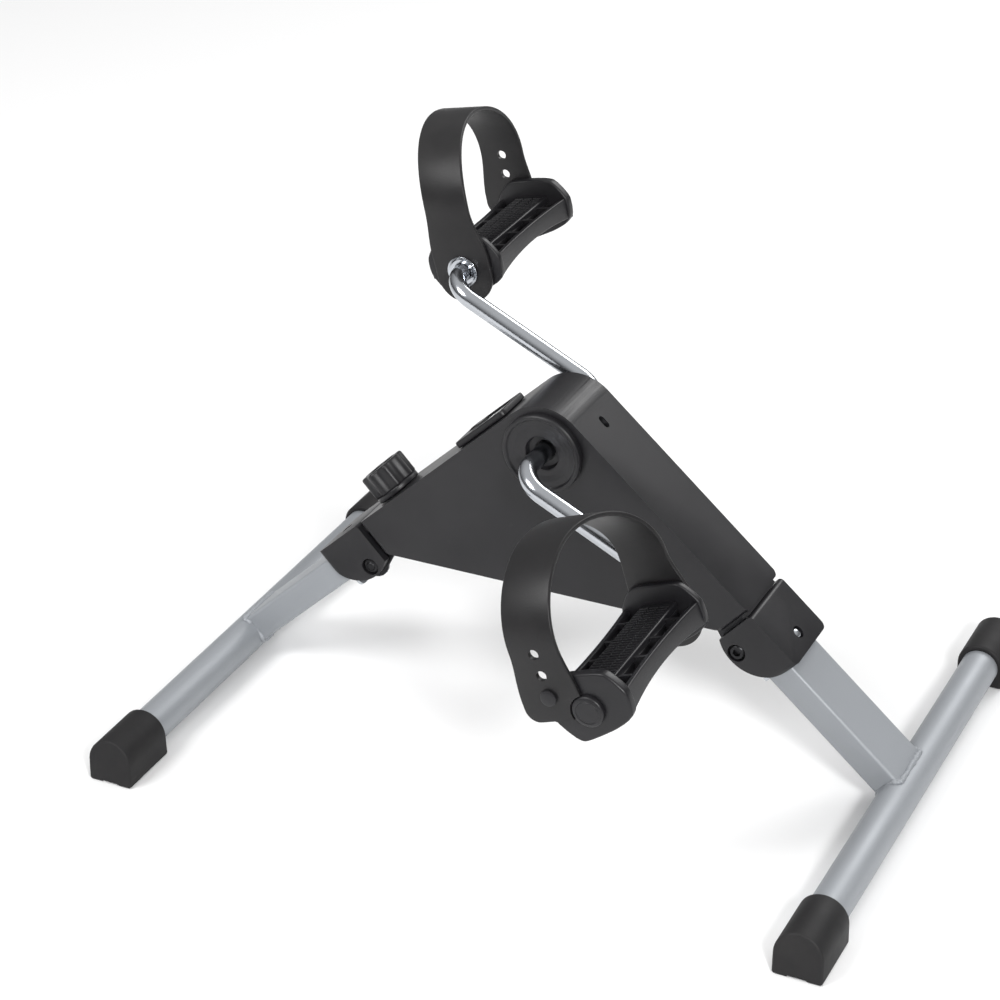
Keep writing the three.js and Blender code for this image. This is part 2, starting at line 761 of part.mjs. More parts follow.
// One rod: out of the drum, round a bend, along the arm, round a second bend, out through the pedal.
class CrankPath extends THREE.Curve {
  constructor(side) {
    super();
    this.side = side;
    const bend = (Math.PI / 2) * bendRadius;
    this.lengths = [
      armOffset - bendRadius - 1,
      bend,
      crankThrow - 2 * bendRadius,
      bend,
      rodEnd - armOffset - bendRadius,
    ];
    this.total = this.lengths.reduce((sum, length) => sum + length, 0);
  }

  // distance along the arm and distance from the middle, before the side is applied
  flat(t) {
    let left = t * this.total;
    const [hub, bend, arm] = this.lengths;
    if (left <= hub) return [0, 1 + left];
    left -= hub;
    const turnIn = armOffset - bendRadius;
    if (left <= bend) {
      const angle = left / bendRadius;
      return [bendRadius * (1 - Math.cos(angle)), turnIn + bendRadius * Math.sin(angle)];
    }
    left -= bend;
    if (left <= arm) return [bendRadius + left, armOffset];
    left -= arm;
    const turnOut = crankThrow - bendRadius;
    if (left <= bend) {
      const angle = left / bendRadius;
      return [turnOut + bendRadius * Math.sin(angle), armOffset + bendRadius * (1 - Math.cos(angle))];
    }
    return [crankThrow, armOffset + bendRadius + left - bend];
  }

  getPoint(t, target = new THREE.Vector3()) {
    const [x, y] = this.flat(t);
    return target.set(-this.side * x, this.side * y, 0);
  }
}

function crankRod(side) {
  const section = new THREE.Shape();
  section.absarc(0, 0, rodRadius, 0, 2 * Math.PI);
  return new THREE.ExtrudeGeometry(section, {
    steps: 48,
    curveSegments: 8,
    bevelEnabled: false,
    extrudePath: new CrankPath(side),
  });
}

const boltAcross = (hubHalf + drumHalf) / 2;
const magnetAt = 14;
const magnetRadius = 2.4;

function drum() {
  const bore = rodRadius + gap / 2;
  const body = turned([
    [bore, -hubHalf],
    [hubRadius, -hubHalf],
    [hubRadius, -drumHalf],
    [drumRadius, -drumHalf],
    [drumRadius, drumHalf],
    [hubRadius, drumHalf],
    [hubRadius, hubHalf],
    [bore, hubHalf],
  ], 1, 48);
  return combine(body, {
    cut: [
      post(2.6, 0, hubRadius + reach, 0, -boltAcross),
      post(2.6, 0, hubRadius + reach, 0, boltAcross),
      rod(magnetRadius + 0.2, drumHalf - 3, drumHalf + reach, magnetAt, 0),
    ],
  });
}

place(crank, 'crank_drum', drum(), 'steel');
place(crank, 'sensor_magnet', rod(magnetRadius, drumHalf - 2.7, drumHalf + 0.3, magnetAt, 0), 'chrome');

// ---- pedals ----
const sleeveBore = rodRadius + gap;
const axleNut = rodRadius + 2;
const nutBore = axleNut + 0.6;
const peg = { stem: 3, head: 5.2 };

// A cheek's outline: a low rounded belly behind the axle and raised sides that hold the shoe.
function cheekOutline() {
  return new THREE.Shape(new THREE.CatmullRomCurve3([
    [pedalHalf, -4],
    [pedalHalf, 9],
    [17, 21.5],
    [0, 23],
    [-17, 21.5],
    [-pedalHalf, 9],
    [-pedalHalf, -3],
    [-20, -14],
    [-11, -21],
    [10, -15.5],
    [22, -10],
  ].map(([x, z]) => new THREE.Vector3(x, z, 0)), true, 'catmullrom', 0.35)
    .getPoints(33)
    .slice(0, -1)
    .map((p) => new THREE.Vector2(p.x, p.y)));
}

function pedalBody(side) {
  const inner = side * pedalInner;
  const outer = side * pedalOuter;
  const across = [inner, outer];
  const wall = 4;
  const inset = 2.5;
  const low = Math.min(...across) + 1;
  const high = Math.max(...across) - 1;
  const add = [
    slab(cheekOutline(), outer, outer - side * cheekOuter, 1),
    rod(sleeveRadius, inner, outer, 0, 0, 32),
    box([-12, 12], [low, high], [6, deckTop]),
    box([pedalHalf - inset - wall, pedalHalf - inset], [low, high], [-6, 9]),
    box([-pedalHalf + inset, -pedalHalf + inset + wall], [low, high], [-6, 9]),
    rod(peg.stem, outer - side * 2, outer + side * 4.6, pegAlong, pegHeight, 16),
    rod(peg.head, outer + side * (strapThick + 3 * gap), outer + side * 6, pegAlong, pegHeight, 20),
  ];
  const ribs = 5;
  for (let i = 1; i < ribs; i += 1) {
    const y = inner + (outer - inner) * (i / ribs);
    add.push(box([-pedalHalf + inset + 1, pedalHalf - inset - 1], [y - 1.5, y + 1.5], [-2.5, 8.5]));
  }
  return combine(slab(cheekOutline(), inner, inner + side * cheekInner, 1), {
    add,
    cut: [
      rod(sleeveBore, inner - side * reach, outer + side * reach, 0, 0, 32),
      rod(nutBore, side * nutSeat, outer + side * reach, 0, 0, 32),
    ],
  });
}

function pedalCap(side) {
  const face = pedalOuter + gap;
  return turned([
    [0, pedalOuter - 5],
    [nutBore - gap, pedalOuter - 5],
    [nutBore - gap, face],
    [10.2, face],
    [10.2, face + 2.2],
    [9, face + 3.3],
    [0, face + 3.6],
  ], side);
}

// The strap is a band over the foot: an arch in Y and Z, given its width and its lean in X.
function strap(side) {
  const inner = pedalInner - gap - strapThick / 2;
  const outer = pedalOuter + gap + strapThick / 2;
  const low = { inner: -22, outer: -4 };
  const middle = (inner + outer) / 2;
  const halfSpan = (outer - inner) / 2;
  const rise = strapHeight - strapThick / 2 - strapShoulder;
  const route = [];
  const straight = 12;
  const curve = 24;
  for (let i = 0; i < straight; i += 1) {
    const t = (i / straight) ** 1.6;
    route.push([inner, low.inner + (strapShoulder - low.inner) * t, -1, 0]);
  }
  for (let i = 0; i <= curve; i += 1) {
    const angle = Math.PI * (1 - i / curve);
    const normal = new THREE.Vector2(Math.cos(angle) / halfSpan, Math.sin(angle) / rise).normalize();
    route.push([
      middle + halfSpan * Math.cos(angle),
      strapShoulder + rise * Math.sin(angle),
      normal.x,
      normal.y,
    ]);
  }
  for (let i = straight - 1; i >= 0; i -= 1) {
    const t = (i / straight) ** 1.6;
    route.push([outer, low.outer + (strapShoulder - low.outer) * t, 1, 0]);
  }
  const half = strapThick / 2;
  const ring = [
    ...route.map(([y, z, ny, nz]) => [y + half * ny, z + half * nz]),
    ...route.toReversed().map(([y, z, ny, nz]) => [y - half * ny, z - half * nz]),
  ];
  const band = new THREE.ExtrudeGeometry(outline(ring), { depth: 1, bevelEnabled: false });
  const position = band.attributes.position;
  for (let i = 0; i < position.count; i += 1) {
    const y = position.getX(i);
    const z = position.getY(i);
    const edge = position.getZ(i) - 0.5;
    const round = Math.atan2(Math.max(z - strapShoulder, 0) / rise, (y - middle) / halfSpan) / Math.PI;
    const x = strapMiddle(1 - round, z) + edge * strapWidth(y < middle, z, low);
    position.setXYZ(i, x, side * y, z);
  }
  if (side < 0) flipFaces(band);
  const cut = [
    rod(rodRadius + 2 * gap, side * (inner - 5), side * (inner + 5), 0, 0),
    rod(10.2 + 2 * gap, side * (outer - 5), side * (outer + 5), 0, 0, 32),
    rod(peg.stem + gap, side * (outer - 5), side * (outer + 5), pegAlong, pegHeight),
  ];
  for (const hole of [14, 28]) {
    cut.push(rod(peg.stem + gap, side * (outer - 5), side * (outer + 5), pegAlong, pegHeight + hole));
  }
  return combine(band, { cut });
}

// Where the middle of the band lies in X: over the axle on the inner side, over the peg outside.
function strapMiddle(round, z) {
  const low = THREE.MathUtils.smoothstep(z, 0, strapShoulder) * 0.15;
  const over = round <= 0 ? low : 0.15 + 0.85 * THREE.MathUtils.smoothstep(round, 0, 0.6);
  return pegAlong * (round >= 1 ? 1 : over);
}

// The band's width: wide and rounded at its two ends, narrower over the foot.
function strapWidth(isInner, z, low) {
  const end = isInner ? low.inner : low.outer;
  const wide = isInner ? 42 : 40;
  const narrow = 33;
  const width = wide + (narrow - wide) * THREE.MathUtils.smoothstep(z, 10, strapShoulder);
  const roundOff = isInner ? 20 : 9;
  const up = Math.min(z - end, roundOff);
  return width - 2 * (roundOff - Math.sqrt(roundOff ** 2 - (roundOff - up) ** 2)) * 0.9;
}

function flipFaces(geometry) {
  const plain = geometry.attributes.position;
  for (let i = 0; i < plain.count; i += 3) {
    const first = [plain.getX(i), plain.getY(i), plain.getZ(i)];
    plain.setXYZ(i, plain.getX(i + 1), plain.getY(i + 1), plain.getZ(i + 1));
    plain.setXYZ(i + 1, ...first);
  }
}

for (const [name, side, pitch] of [['right', -1, rightPitch], ['left', 1, leftPitch]]) {
  place(crank, `${name}_crank_rod`, crankRod(side), 'chrome');
  const drumScrew = post(2.3, rodRadius + gap, hubRadius + 0.5, 0, side * boltAcross);
  place(crank, `${name}_drum_screw`, drumScrew, 'steel');
  place(crank, `${name}_axle_washer`, turned([
    [rodRadius + gap, armOffset + bendRadius + 1],
    [washerRadius, armOffset + bendRadius + 1],
    [washerRadius, armOffset + bendRadius + 2.4],
    [rodRadius + gap, armOffset + bendRadius + 2.4],
  ], side).translate(-side * crankThrow, 0, 0), 'chrome');
  place(crank, `${name}_axle_nut`, turned([
    [rodRadius + gap / 2, nutSeat + 2.5],
    [axleNut, nutSeat + 2.5],
    [axleNut, nutSeat + 5.5],
    [rodRadius + gap / 2, nutSeat + 5.5],
  ], side, 24).translate(-side * crankThrow, 0, 0), 'steel');

  const pedal = new THREE.Group();
  pedal.position.set(
    -side * crankThrow * Math.cos(crankTurn),
    0,
    crankHeight + side * crankThrow * Math.sin(crankTurn),
  );
  pedal.rotation.y = -pitch;
  model.add(pedal);
  place(pedal, `${name}_pedal_body`, pedalBody(side), 'shell');
  place(pedal, `${name}_pedal_cap`, pedalCap(side), 'shell');
  place(pedal, `${name}_strap`, strap(side), 'rubber');
}

export default model;
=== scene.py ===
"""The visible surfaces of a folding pedal exerciser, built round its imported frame."""

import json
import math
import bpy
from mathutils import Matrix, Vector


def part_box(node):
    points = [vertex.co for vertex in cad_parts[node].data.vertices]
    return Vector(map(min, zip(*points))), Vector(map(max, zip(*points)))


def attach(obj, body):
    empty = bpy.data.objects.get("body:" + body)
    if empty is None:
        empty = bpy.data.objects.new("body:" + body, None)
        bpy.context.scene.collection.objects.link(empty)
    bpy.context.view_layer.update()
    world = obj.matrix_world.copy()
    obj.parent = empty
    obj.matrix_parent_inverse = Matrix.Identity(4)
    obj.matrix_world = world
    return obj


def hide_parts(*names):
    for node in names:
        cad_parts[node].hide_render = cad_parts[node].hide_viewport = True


bl_info = {
    "name": "Pedal Exerciser",
    "version": (1, 0, 0),
    "blender": (4, 5, 0),
    "location": "View3D > Sidebar > Exerciser",
    "description": "Builds the casing, legs, cranks, pedals and straps of a folding pedal exerciser",
    "category": "Object",
}

from types import SimpleNamespace

import bmesh
import bpy
from bpy.props import FloatProperty, FloatVectorProperty, IntProperty, PointerProperty
from mathutils import Matrix, Vector

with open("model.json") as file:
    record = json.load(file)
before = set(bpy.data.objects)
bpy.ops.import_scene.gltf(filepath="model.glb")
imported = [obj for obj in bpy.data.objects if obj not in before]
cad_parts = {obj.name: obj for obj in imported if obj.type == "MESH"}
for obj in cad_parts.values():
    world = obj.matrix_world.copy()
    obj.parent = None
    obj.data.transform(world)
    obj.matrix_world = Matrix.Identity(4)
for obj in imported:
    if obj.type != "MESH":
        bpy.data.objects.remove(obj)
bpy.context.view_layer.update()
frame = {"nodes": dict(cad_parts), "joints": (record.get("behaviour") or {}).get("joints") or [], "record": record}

# Shapes are drawn in millimetres in a local frame, and MM brings them to metres.
MM = 0.001
REACH = 1.0  # how far a cutter runs past what it cuts
GAP = 0.3  # clearance between neighbouring pieces
CORNER = 4.5  # radius of the upright corners at the ends of the casing and brackets
BODY_SIDES = (("right", -1), ("left", 1))
LEG_SIDES = (("front", 1), ("rear", -1))

# ---- places, read from the frame ----
JOINTS = {joint["name"]: joint for joint in frame["joints"]}
CRANK = Vector(JOINTS["crank_spin"]["pos_m"])
DOWN_SLOPE = Vector(JOINTS["front_latch_pull"]["axis"])
SLOPE_COS = DOWN_SLOPE.x
SLOPE_SIN = -DOWN_SLOPE.z
SLOPE_ANGLE = math.atan2(SLOPE_SIN, SLOPE_COS)
CREST = (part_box("main_cover")[1].z - CRANK.z) / MM
APEX = CRANK.z / MM + CREST / SLOPE_COS
TO_PEDAL = Vector(JOINTS["right_pedal_spin"]["pos_m"]) - CRANK
CRANK_TURN = math.atan2(-TO_PEDAL.z, TO_PEDAL.x)
CRANK_THROW = TO_PEDAL.length / MM
PEDAL_PITCH = {"right": math.radians(20), "left": math.radians(11)}

MAIN = Matrix.Identity(4)
CRANK_PLACE = Matrix.Translation(CRANK) @ Matrix.Rotation(CRANK_TURN, 4, "Y")


def slope_place(side):
    """The frame of one top slope: X runs down it from the apex and Z stands square to it."""
    turn = Matrix.Rotation(0 if side > 0 else math.pi, 4, "Z")
    return turn @ Matrix.Translation((0, 0, APEX * MM)) @ Matrix.Rotation(SLOPE_ANGLE, 4, "Y")


def pedal_place(name):
    """The frame of one pedal: Y along its axle, X to its front and Z out of its deck."""
    centre = Vector(JOINTS[f"{name}_pedal_spin"]["pos_m"])
    return Matrix.Translation(centre) @ Matrix.Rotation(-PEDAL_PITCH[name], 4, "Y")


def extent(node, place=MAIN):
    """The lowest and highest corner of a CAD node in a local frame, in millimetres."""
    inverse = place.inverted()
    points = [inverse @ v.co / MM for v in frame["nodes"][node].data.vertices]
    low = Vector([min(p[i] for p in points) for i in range(3)])
    high = Vector([max(p[i] for p in points) for i in range(3)])
    return low, high


def node_middle(node, place=MAIN):
    """The middle of a CAD node in a local frame, in millimetres."""
    return [(a + b) / 2 for a, b in zip(*extent(node, place))]


def from_slope(along, up):
    """A point of the front slope's frame as X and Z of the main frame."""
    return (along * SLOPE_COS + up * SLOPE_SIN, APEX - along * SLOPE_SIN + up * SLOPE_COS)


# ---- shapes ----
def make_mesh(points, faces):
    mesh = bpy.data.meshes.new("shape")
    build = bmesh.new()
    corners = [build.verts.new(p) for p in points]
    for face in faces:
        build.faces.new([corners[i] for i in face])
    bmesh.ops.recalc_face_normals(build, faces=build.faces)
    build.to_mesh(mesh)
    build.free()
    return mesh


def arc(centre, radius, start, end, steps):
    """Points on an arc, its angles in degrees."""
    angles = [math.radians(start + (end - start) * i / steps) for i in range(steps + 1)]
    return [(centre[0] + radius * math.cos(a), centre[1] + radius * math.sin(a)) for a in angles]


def circle(radius, x=0.0, z=0.0, steps=64):
    return arc((x, z), radius, 0, 360, steps)[:-1]


def fillet(points, radius, steps=5):
    """A closed outline with its corners rounded; a point may give its own radius third."""
    rounded = []
    for i, point in enumerate(points):
        corner = Vector(point[:2])
        before = Vector(points[i - 1][:2]) - corner
        after = Vector(points[(i + 1) % len(points)][:2]) - corner
        own = point[2] if len(point) > 2 else radius
        opening = before.angle(after)
        if own <= 0 or opening > math.radians(175):
            rounded.append(tuple(corner))
            continue
        most = 0.49 * min(before.length, after.length)
        back = min(own / math.tan(opening / 2), most)
        own = back * math.tan(opening / 2)
        middle = corner + (before.normalized() + after.normalized()).normalized() * (
            own / math.sin(opening / 2)
        )
        first = corner + before.normalized() * back - middle
        last = corner + after.normalized() * back - middle
        sweep = first.angle_signed(last)
        for step in range(steps + 1):
            turned_by = Matrix.Rotation(-sweep * step / steps, 2)
            rounded.append(tuple(middle + turned_by @ first))
    return rounded


def rectangle(x, z, radius, steps=6):
    return fillet([(x[0], z[0]), (x[1], z[0]), (x[1], z[1]), (x[0], z[1])], radius, steps)


def prism(outline, low, high):
    """A closed outline in X and Z, run along Y."""
    count = len(outline)
    points = [(x, y, z) for y in (low, high) for x, z in outline]
    faces = [tuple(range(count)), tuple(range(2 * count - 1, count - 1, -1))]
    for i in range(count):
        j = (i + 1) % count
        faces.append((i, j, count + j, count + i))
    return make_mesh(points, faces)


def upright(outline, low, high):
    """A closed outline in X and Y, run along Z."""
    return turn_mesh(prism(outline, -high, -low), Matrix.Rotation(math.radians(-90), 4, "X"))


def run_along_x(outline, low, high):
    """A closed outline in Y and Z, run along X."""
    return turn_mesh(prism(outline, -high, -low), Matrix.Rotation(math.radians(90), 4, "Z"))


def corner_cutter(x, y, radius, depth=60):
    """What is taken off one upright corner to round it, seen from above."""
    side = math.copysign(1, y)
    middle = (x - radius, y - side * radius)
    outline = [(x + REACH, middle[1]), (x + REACH, y + side * REACH), (middle[0], y + side * REACH)]
    return upright(outline + arc(middle, radius, 90 * side, 0, 10), -depth, REACH)


def block(x, y, z):
    return prism([(x[0], z[0]), (x[1], z[0]), (x[1], z[1]), (x[0], z[1])], y[0], y[1])


def turned(profile, segments=96):
    """A profile of (radius, distance along Y), turned about Y."""
    closed = min(r for r, _ in profile) > 0
    points, rings = [], []
    for radius, y in profile:
        if radius <= 0:
            rings.append([len(points)] * segments)
            points.append((0, y, 0))
            continue
        rings.append(list(range(len(points), len(points) + segments)))
        for x, z in circle(radius, steps=segments):
            points.append((x, y, z))
    pairs = list(zip(rings, rings[1:])) + ([(rings[-1], rings[0])] if closed else [])
    faces = []
    for lower, upper in pairs:
        for i in range(segments):
            j = (i + 1) % segments
            ring = (lower[i], lower[j], upper[j], upper[i])
            faces.append(tuple(dict.fromkeys(ring)))
    return make_mesh(points, faces)


def loft(sections):
    """Rings of equally many points, joined in order and capped."""
    count = len(sections[0])
    points = [p for section in sections for p in section]
    faces = [tuple(range(count)), tuple(range(len(points) - count, len(points)))]
    for k in range(len(sections) - 1):
        for i in range(count):
            j = (i + 1) % count
            faces.append((k * count + i, k * count + j, (k + 1) * count + j, (k + 1) * count + i))
    return make_mesh(points, faces)


def turn_mesh(mesh, matrix):
    mesh.transform(matrix)
    if matrix.determinant() < 0:
        mesh.flip_normals()
    return mesh


def shift(mesh, x=0.0, y=0.0, z=0.0):
    return turn_mesh(mesh, Matrix.Translation((x, y, z)))


def stand(mesh):
    """A shape turned about Y, stood up along Z."""
    return turn_mesh(mesh, Matrix.Rotation(math.radians(90), 4, "X"))


# ---- work on shapes ----
def evaluated_mesh(piece):
    """A plain mesh of a piece with its modifiers worked out."""
    bpy.context.view_layer.update()
    depsgraph = bpy.context.evaluated_depsgraph_get()
    return bpy.data.meshes.new_from_object(piece.evaluated_get(depsgraph))


def bench(mesh):
    """A scratch object that holds a shape while modifiers work on it."""
    piece = bpy.data.objects.new("bench", mesh)
    bpy.context.scene.collection.objects.link(piece)
    return piece


def combine(mesh, add=(), cut=(), keep=()):
    """A shape with others added to it and cut out of it, then kept only inside the last ones."""
    base = bench(mesh)
    helpers = []
    for operation, shapes in (("UNION", add), ("DIFFERENCE", cut), ("INTERSECT", keep)):
        for shape in shapes:
            helper = bench(shape)
            helpers.append(helper)
            step = base.modifiers.new("cut", "BOOLEAN")
            step.operation = operation
            step.object = helper
            step.solver = "MANIFOLD"
    result = evaluated_mesh(base)
    for piece in [base, *helpers]:
        bpy.data.objects.remove(piece)
    if len(result.polygons) == 0:
        raise RuntimeError("a cut left nothing of its shape")
    return result


def soften(mesh, width, segments=3, angle=32):
    """The shape with every edge sharper than the angle rounded."""
    base = bench(mesh)
    step = base.modifiers.new("round", "BEVEL")
    step.width = width
    step.segments = segments
    step.limit_method = "ANGLE"
    step.angle_limit = math.radians(angle)
    step.use_clamp_overlap = True
    step.miter_outer = "MITER_ARC"
    result = evaluated_mesh(base)
    bpy.data.objects.remove(base)
    return result


def shade(mesh, angle=35):
    mesh.polygons.foreach_set("use_smooth", [True] * len(mesh.polygons))
    mesh.set_sharp_from_angle(angle=math.radians(angle))
    return mesh


def finish_piece(name, mesh, place, material, body, slot, nodes=()):
    """A finished piece: its place in its mesh, its material on, riding on its body."""
    mesh.transform(place @ Matrix.Scale(MM, 4))
    mesh.name = name
    mesh.materials.clear()
    mesh.materials.append(material)
    shade(mesh)
    piece = bpy.data.objects.new(name, mesh)
    bpy.context.scene.collection.objects.link(piece)
    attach(piece, body)
    if nodes:
        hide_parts(*nodes)
    return piece


# ---- shader groups ----
def shader_group(name, inputs, outputs):
    """An empty node group with float inputs, and outputs of the given kinds."""
    tree = bpy.data.node_groups.new(name, "ShaderNodeTree")
    tree.interface.new_socket("Vector", in_out="INPUT", socket_type="NodeSocketVector")
    for label, value in inputs.items():
        socket = tree.interface.new_socket(label, in_out="INPUT", socket_type="NodeSocketFloat")
        socket.default_value = value
    for label in outputs:
        tree.interface.new_socket(label, in_out="OUTPUT", socket_type="NodeSocketFloat")
    return tree, tree.nodes.new("NodeGroupInput"), tree.nodes.new("NodeGroupOutput")


def noise_node(tree, detail, roughness=0.55):
    node = tree.nodes.new("ShaderNodeTexNoise")
    node.inputs["Detail"].default_value = detail
    node.inputs["Roughness"].default_value = roughness
    return node


def range_node(tree, low, high, to_low=0.0, to_high=1.0):
    node = tree.nodes.new("ShaderNodeMapRange")
    node.inputs["From Min"].default_value = low
    node.inputs["From Max"].default_value = high
    node.inputs["To Min"].default_value = to_low
    node.inputs["To Max"].default_value = to_high
    return node


def grain_group():
    """Fine spark-eroded grain as a height, and slow patches as a mask."""
    tree, given, out = shader_group("Moulded Grain", {"Grain": 1500.0, "Patch": 22.0}, ["Height", "Patches"])
    fine = noise_node(tree, 3.0)
    slow = noise_node(tree, 4.0)
    spread = range_node(tree, 0.3, 0.7)
    tree.links.new(given.outputs["Vector"], fine.inputs["Vector"])
    tree.links.new(given.outputs["Grain"], fine.inputs["Scale"])
    tree.links.new(given.outputs["Vector"], slow.inputs["Vector"])
    tree.links.new(given.outputs["Patch"], slow.inputs["Scale"])
    tree.links.new(slow.outputs["Fac"], spread.inputs["Value"])
    tree.links.new(fine.outputs["Fac"], out.inputs["Height"])
    tree.links.new(spread.outputs["Result"], out.inputs["Patches"])
    return tree


def scuff_group():
    """Thin stray scuffs and a light film of dust, each as a mask."""
    scales = {"Scuff Scale": 60.0, "Dust Scale": 9.0}
    tree, given, out = shader_group("Handling Marks", scales, ["Scuffs", "Dust"])
    stretch = tree.nodes.new("ShaderNodeMapping")
    stretch.inputs["Scale"].default_value = (1.0, 7.0, 1.0)
    stretch.inputs["Rotation"].default_value = (0.4, 0.3, 0.9)
    scratch = noise_node(tree, 6.0, 0.7)
    narrow = range_node(tree, 0.66, 0.74)
    film = noise_node(tree, 5.0, 0.6)
    wide = range_node(tree, 0.42, 0.75)
    tree.links.new(given.outputs["Vector"], stretch.inputs["Vector"])
    tree.links.new(stretch.outputs["Vector"], scratch.inputs["Vector"])
    tree.links.new(given.outputs["Scuff Scale"], scratch.inputs["Scale"])
    tree.links.new(scratch.outputs["Fac"], narrow.inputs["Value"])
    tree.links.new(given.outputs["Vector"], film.inputs["Vector"])
    tree.links.new(given.outputs["Dust Scale"], film.inputs["Scale"])
    tree.links.new(film.outputs["Fac"], wide.inputs["Value"])
    tree.links.new(narrow.outputs["Result"], out.inputs["Scuffs"])
    tree.links.new(wide.outputs["Result"], out.inputs["Dust"])
    return tree


def drawn_group():
    """Faint lines along Y, left by drawing or brushing."""
    tree, given, out = shader_group("Drawn Lines", {"Lines": 900.0}, ["Lines"])
    stretch = tree.nodes.new("ShaderNodeMapping")
    stretch.inputs["Scale"].default_value = (1.0, 0.04, 1.0)
    lines = noise_node(tree, 4.0, 0.6)
    tree.links.new(given.outputs["Vector"], stretch.inputs["Vector"])
    tree.links.new(stretch.outputs["Vector"], lines.inputs["Vector"])
    tree.links.new(given.outputs["Lines"], lines.inputs["Scale"])
    tree.links.new(lines.outputs["Fac"], out.inputs["Lines"])
    return tree


# ---- materials ----
class Finish:
    """One material while it is put together: a Principled shader fed by the shared groups."""

    def __init__(self, name, roughness, metallic=0.0):
        self.material = bpy.data.materials.new(name)
        self.material.use_nodes = True
        self.tree = self.material.node_tree
        self.shader = self.tree.nodes["Principled BSDF"]
        self.shader.inputs["Roughness"].default_value = roughness
        self.shader.inputs["Metallic"].default_value = metallic
        self.where = self.tree.nodes.new("ShaderNodeTexCoord")

    def group(self, name, **values):
        node = self.tree.nodes.new("ShaderNodeGroup")
        node.node_tree = bpy.data.node_groups[name]
        self.tree.links.new(self.where.outputs["Object"], node.inputs["Vector"])
        for label, value in values.items():
            node.inputs[label.replace("_", " ")].default_value = value
        return node

    def colour(self, mask, first, second):
        """Base Color between two colours by a mask."""
        mix = self.tree.nodes.new("ShaderNodeMix")
        mix.data_type = "RGBA"
        mix.inputs["A"].default_value = (*first, 1)
        mix.inputs["B"].default_value = (*second, 1)
        self.tree.links.new(mask, mix.inputs["Factor"])
        self.tree.links.new(mix.outputs["Result"], self.shader.inputs["Base Color"])
        return mix

    def over(self, mix, mask, colour, strength):
        """A further colour laid over an earlier mix by a mask."""
        scaled = self.tree.nodes.new("ShaderNodeMath")
        scaled.operation = "MULTIPLY"
        scaled.inputs[1].default_value = strength
        self.tree.links.new(mask, scaled.inputs[0])
        top = self.tree.nodes.new("ShaderNodeMix")
        top.data_type = "RGBA"
        top.inputs["B"].default_value = (*colour, 1)
        self.tree.links.new(scaled.outputs[0], top.inputs["Factor"])
        self.tree.links.new(mix.outputs["Result"], top.inputs["A"])
        self.tree.links.new(top.outputs["Result"], self.shader.inputs["Base Color"])
        return top

    def roughness(self, mask, low, high):
        """Roughness between two values by a mask."""
        spread = range_node(self.tree, 0.0, 1.0, low, high)
        self.tree.links.new(mask, spread.inputs["Value"])
        self.tree.links.new(spread.outputs["Result"], self.shader.inputs["Roughness"])

    def bump(self, height, distance):
        """A relief of the given depth in metres."""
        node = self.tree.nodes.new("ShaderNodeBump")
        node.inputs["Distance"].default_value = distance
        node.inputs["Strength"].default_value = 1.0
        self.tree.links.new(height, node.inputs["Height"])
        self.tree.links.new(node.outputs["Normal"], self.shader.inputs["Normal"])


MATT_SPECULAR = 0.36  # the weak mirror light of grained plastic and rubber


def moulded_plastic(name, colour, low, high, depth, grain=1500.0):
    """Grained plastic with slow patches, dust and stray scuffs."""
    finish = Finish(name, high)
    texture = finish.group("Moulded Grain", Grain=grain)
    marks = finish.group("Handling Marks")
    lighter = [c * 1.35 + 0.002 for c in colour]
    base = finish.colour(texture.outputs["Patches"], colour, lighter)
    dusted = finish.over(base, marks.outputs["Dust"], (0.16, 0.155, 0.15), 0.035)
    finish.over(dusted, marks.outputs["Scuffs"], (0.2, 0.2, 0.2), 0.05)
    finish.roughness(texture.outputs["Patches"], low, high)
    finish.bump(texture.outputs["Height"], depth)
    finish.shader.inputs["Specular IOR Level"].default_value = MATT_SPECULAR
    return finish.material


def soft_rubber(name, colour, low, high, grain, sheen=0.0):
    """Matt rubber that has taken up some dust."""
    finish = Finish(name, high)
    texture = finish.group("Moulded Grain", Grain=grain, Patch=35.0)
    marks = finish.group("Handling Marks", Dust_Scale=14.0)
    base = finish.colour(texture.outputs["Patches"], colour, [c * 1.4 for c in colour])
    finish.over(base, marks.outputs["Dust"], (0.19, 0.18, 0.17), 0.05)
    finish.roughness(texture.outputs["Patches"], low, high)
    finish.bump(texture.outputs["Height"], 0.00006)
    finish.shader.inputs["Specular IOR Level"].default_value = MATT_SPECULAR
    finish.shader.inputs["Sheen Weight"].default_value = sheen
    finish.shader.inputs["Sheen Roughness"].default_value = 0.4
    return finish.material


def silver_paint(name, colour):
    """Powder paint with fine flakes under a thin, dull coat."""
    finish = Finish(name, 0.5, 0.3)
    flakes = finish.group("Moulded Grain", Grain=4200.0, Patch=14.0)
    marks = finish.group("Handling Marks")
    base = finish.colour(flakes.outputs["Height"], [c * 0.82 for c in colour], [c * 1.16 for c in colour])
    finish.over(base, marks.outputs["Scuffs"], (0.3, 0.3, 0.3), 0.12)
    finish.roughness(flakes.outputs["Patches"], 0.46, 0.58)
    finish.bump(flakes.outputs["Height"], 0.00003)
    finish.shader.inputs["Coat Weight"].default_value = 0.12
    finish.shader.inputs["Coat Roughness"].default_value = 0.35
    return finish.material


def bright_metal(name, colour, low, high):
    """Metal with faint lines along it and slow patches in its colour."""
    finish = Finish(name, high, 1.0)
    lines = finish.group("Drawn Lines")
    patches = finish.group("Moulded Grain", Grain=2600.0, Patch=45.0)
    finish.colour(patches.outputs["Patches"], [c * 0.9 for c in colour], colour)
    finish.roughness(lines.outputs["Lines"], low, high)
    finish.bump(lines.outputs["Lines"], 0.000015)
    return finish.material


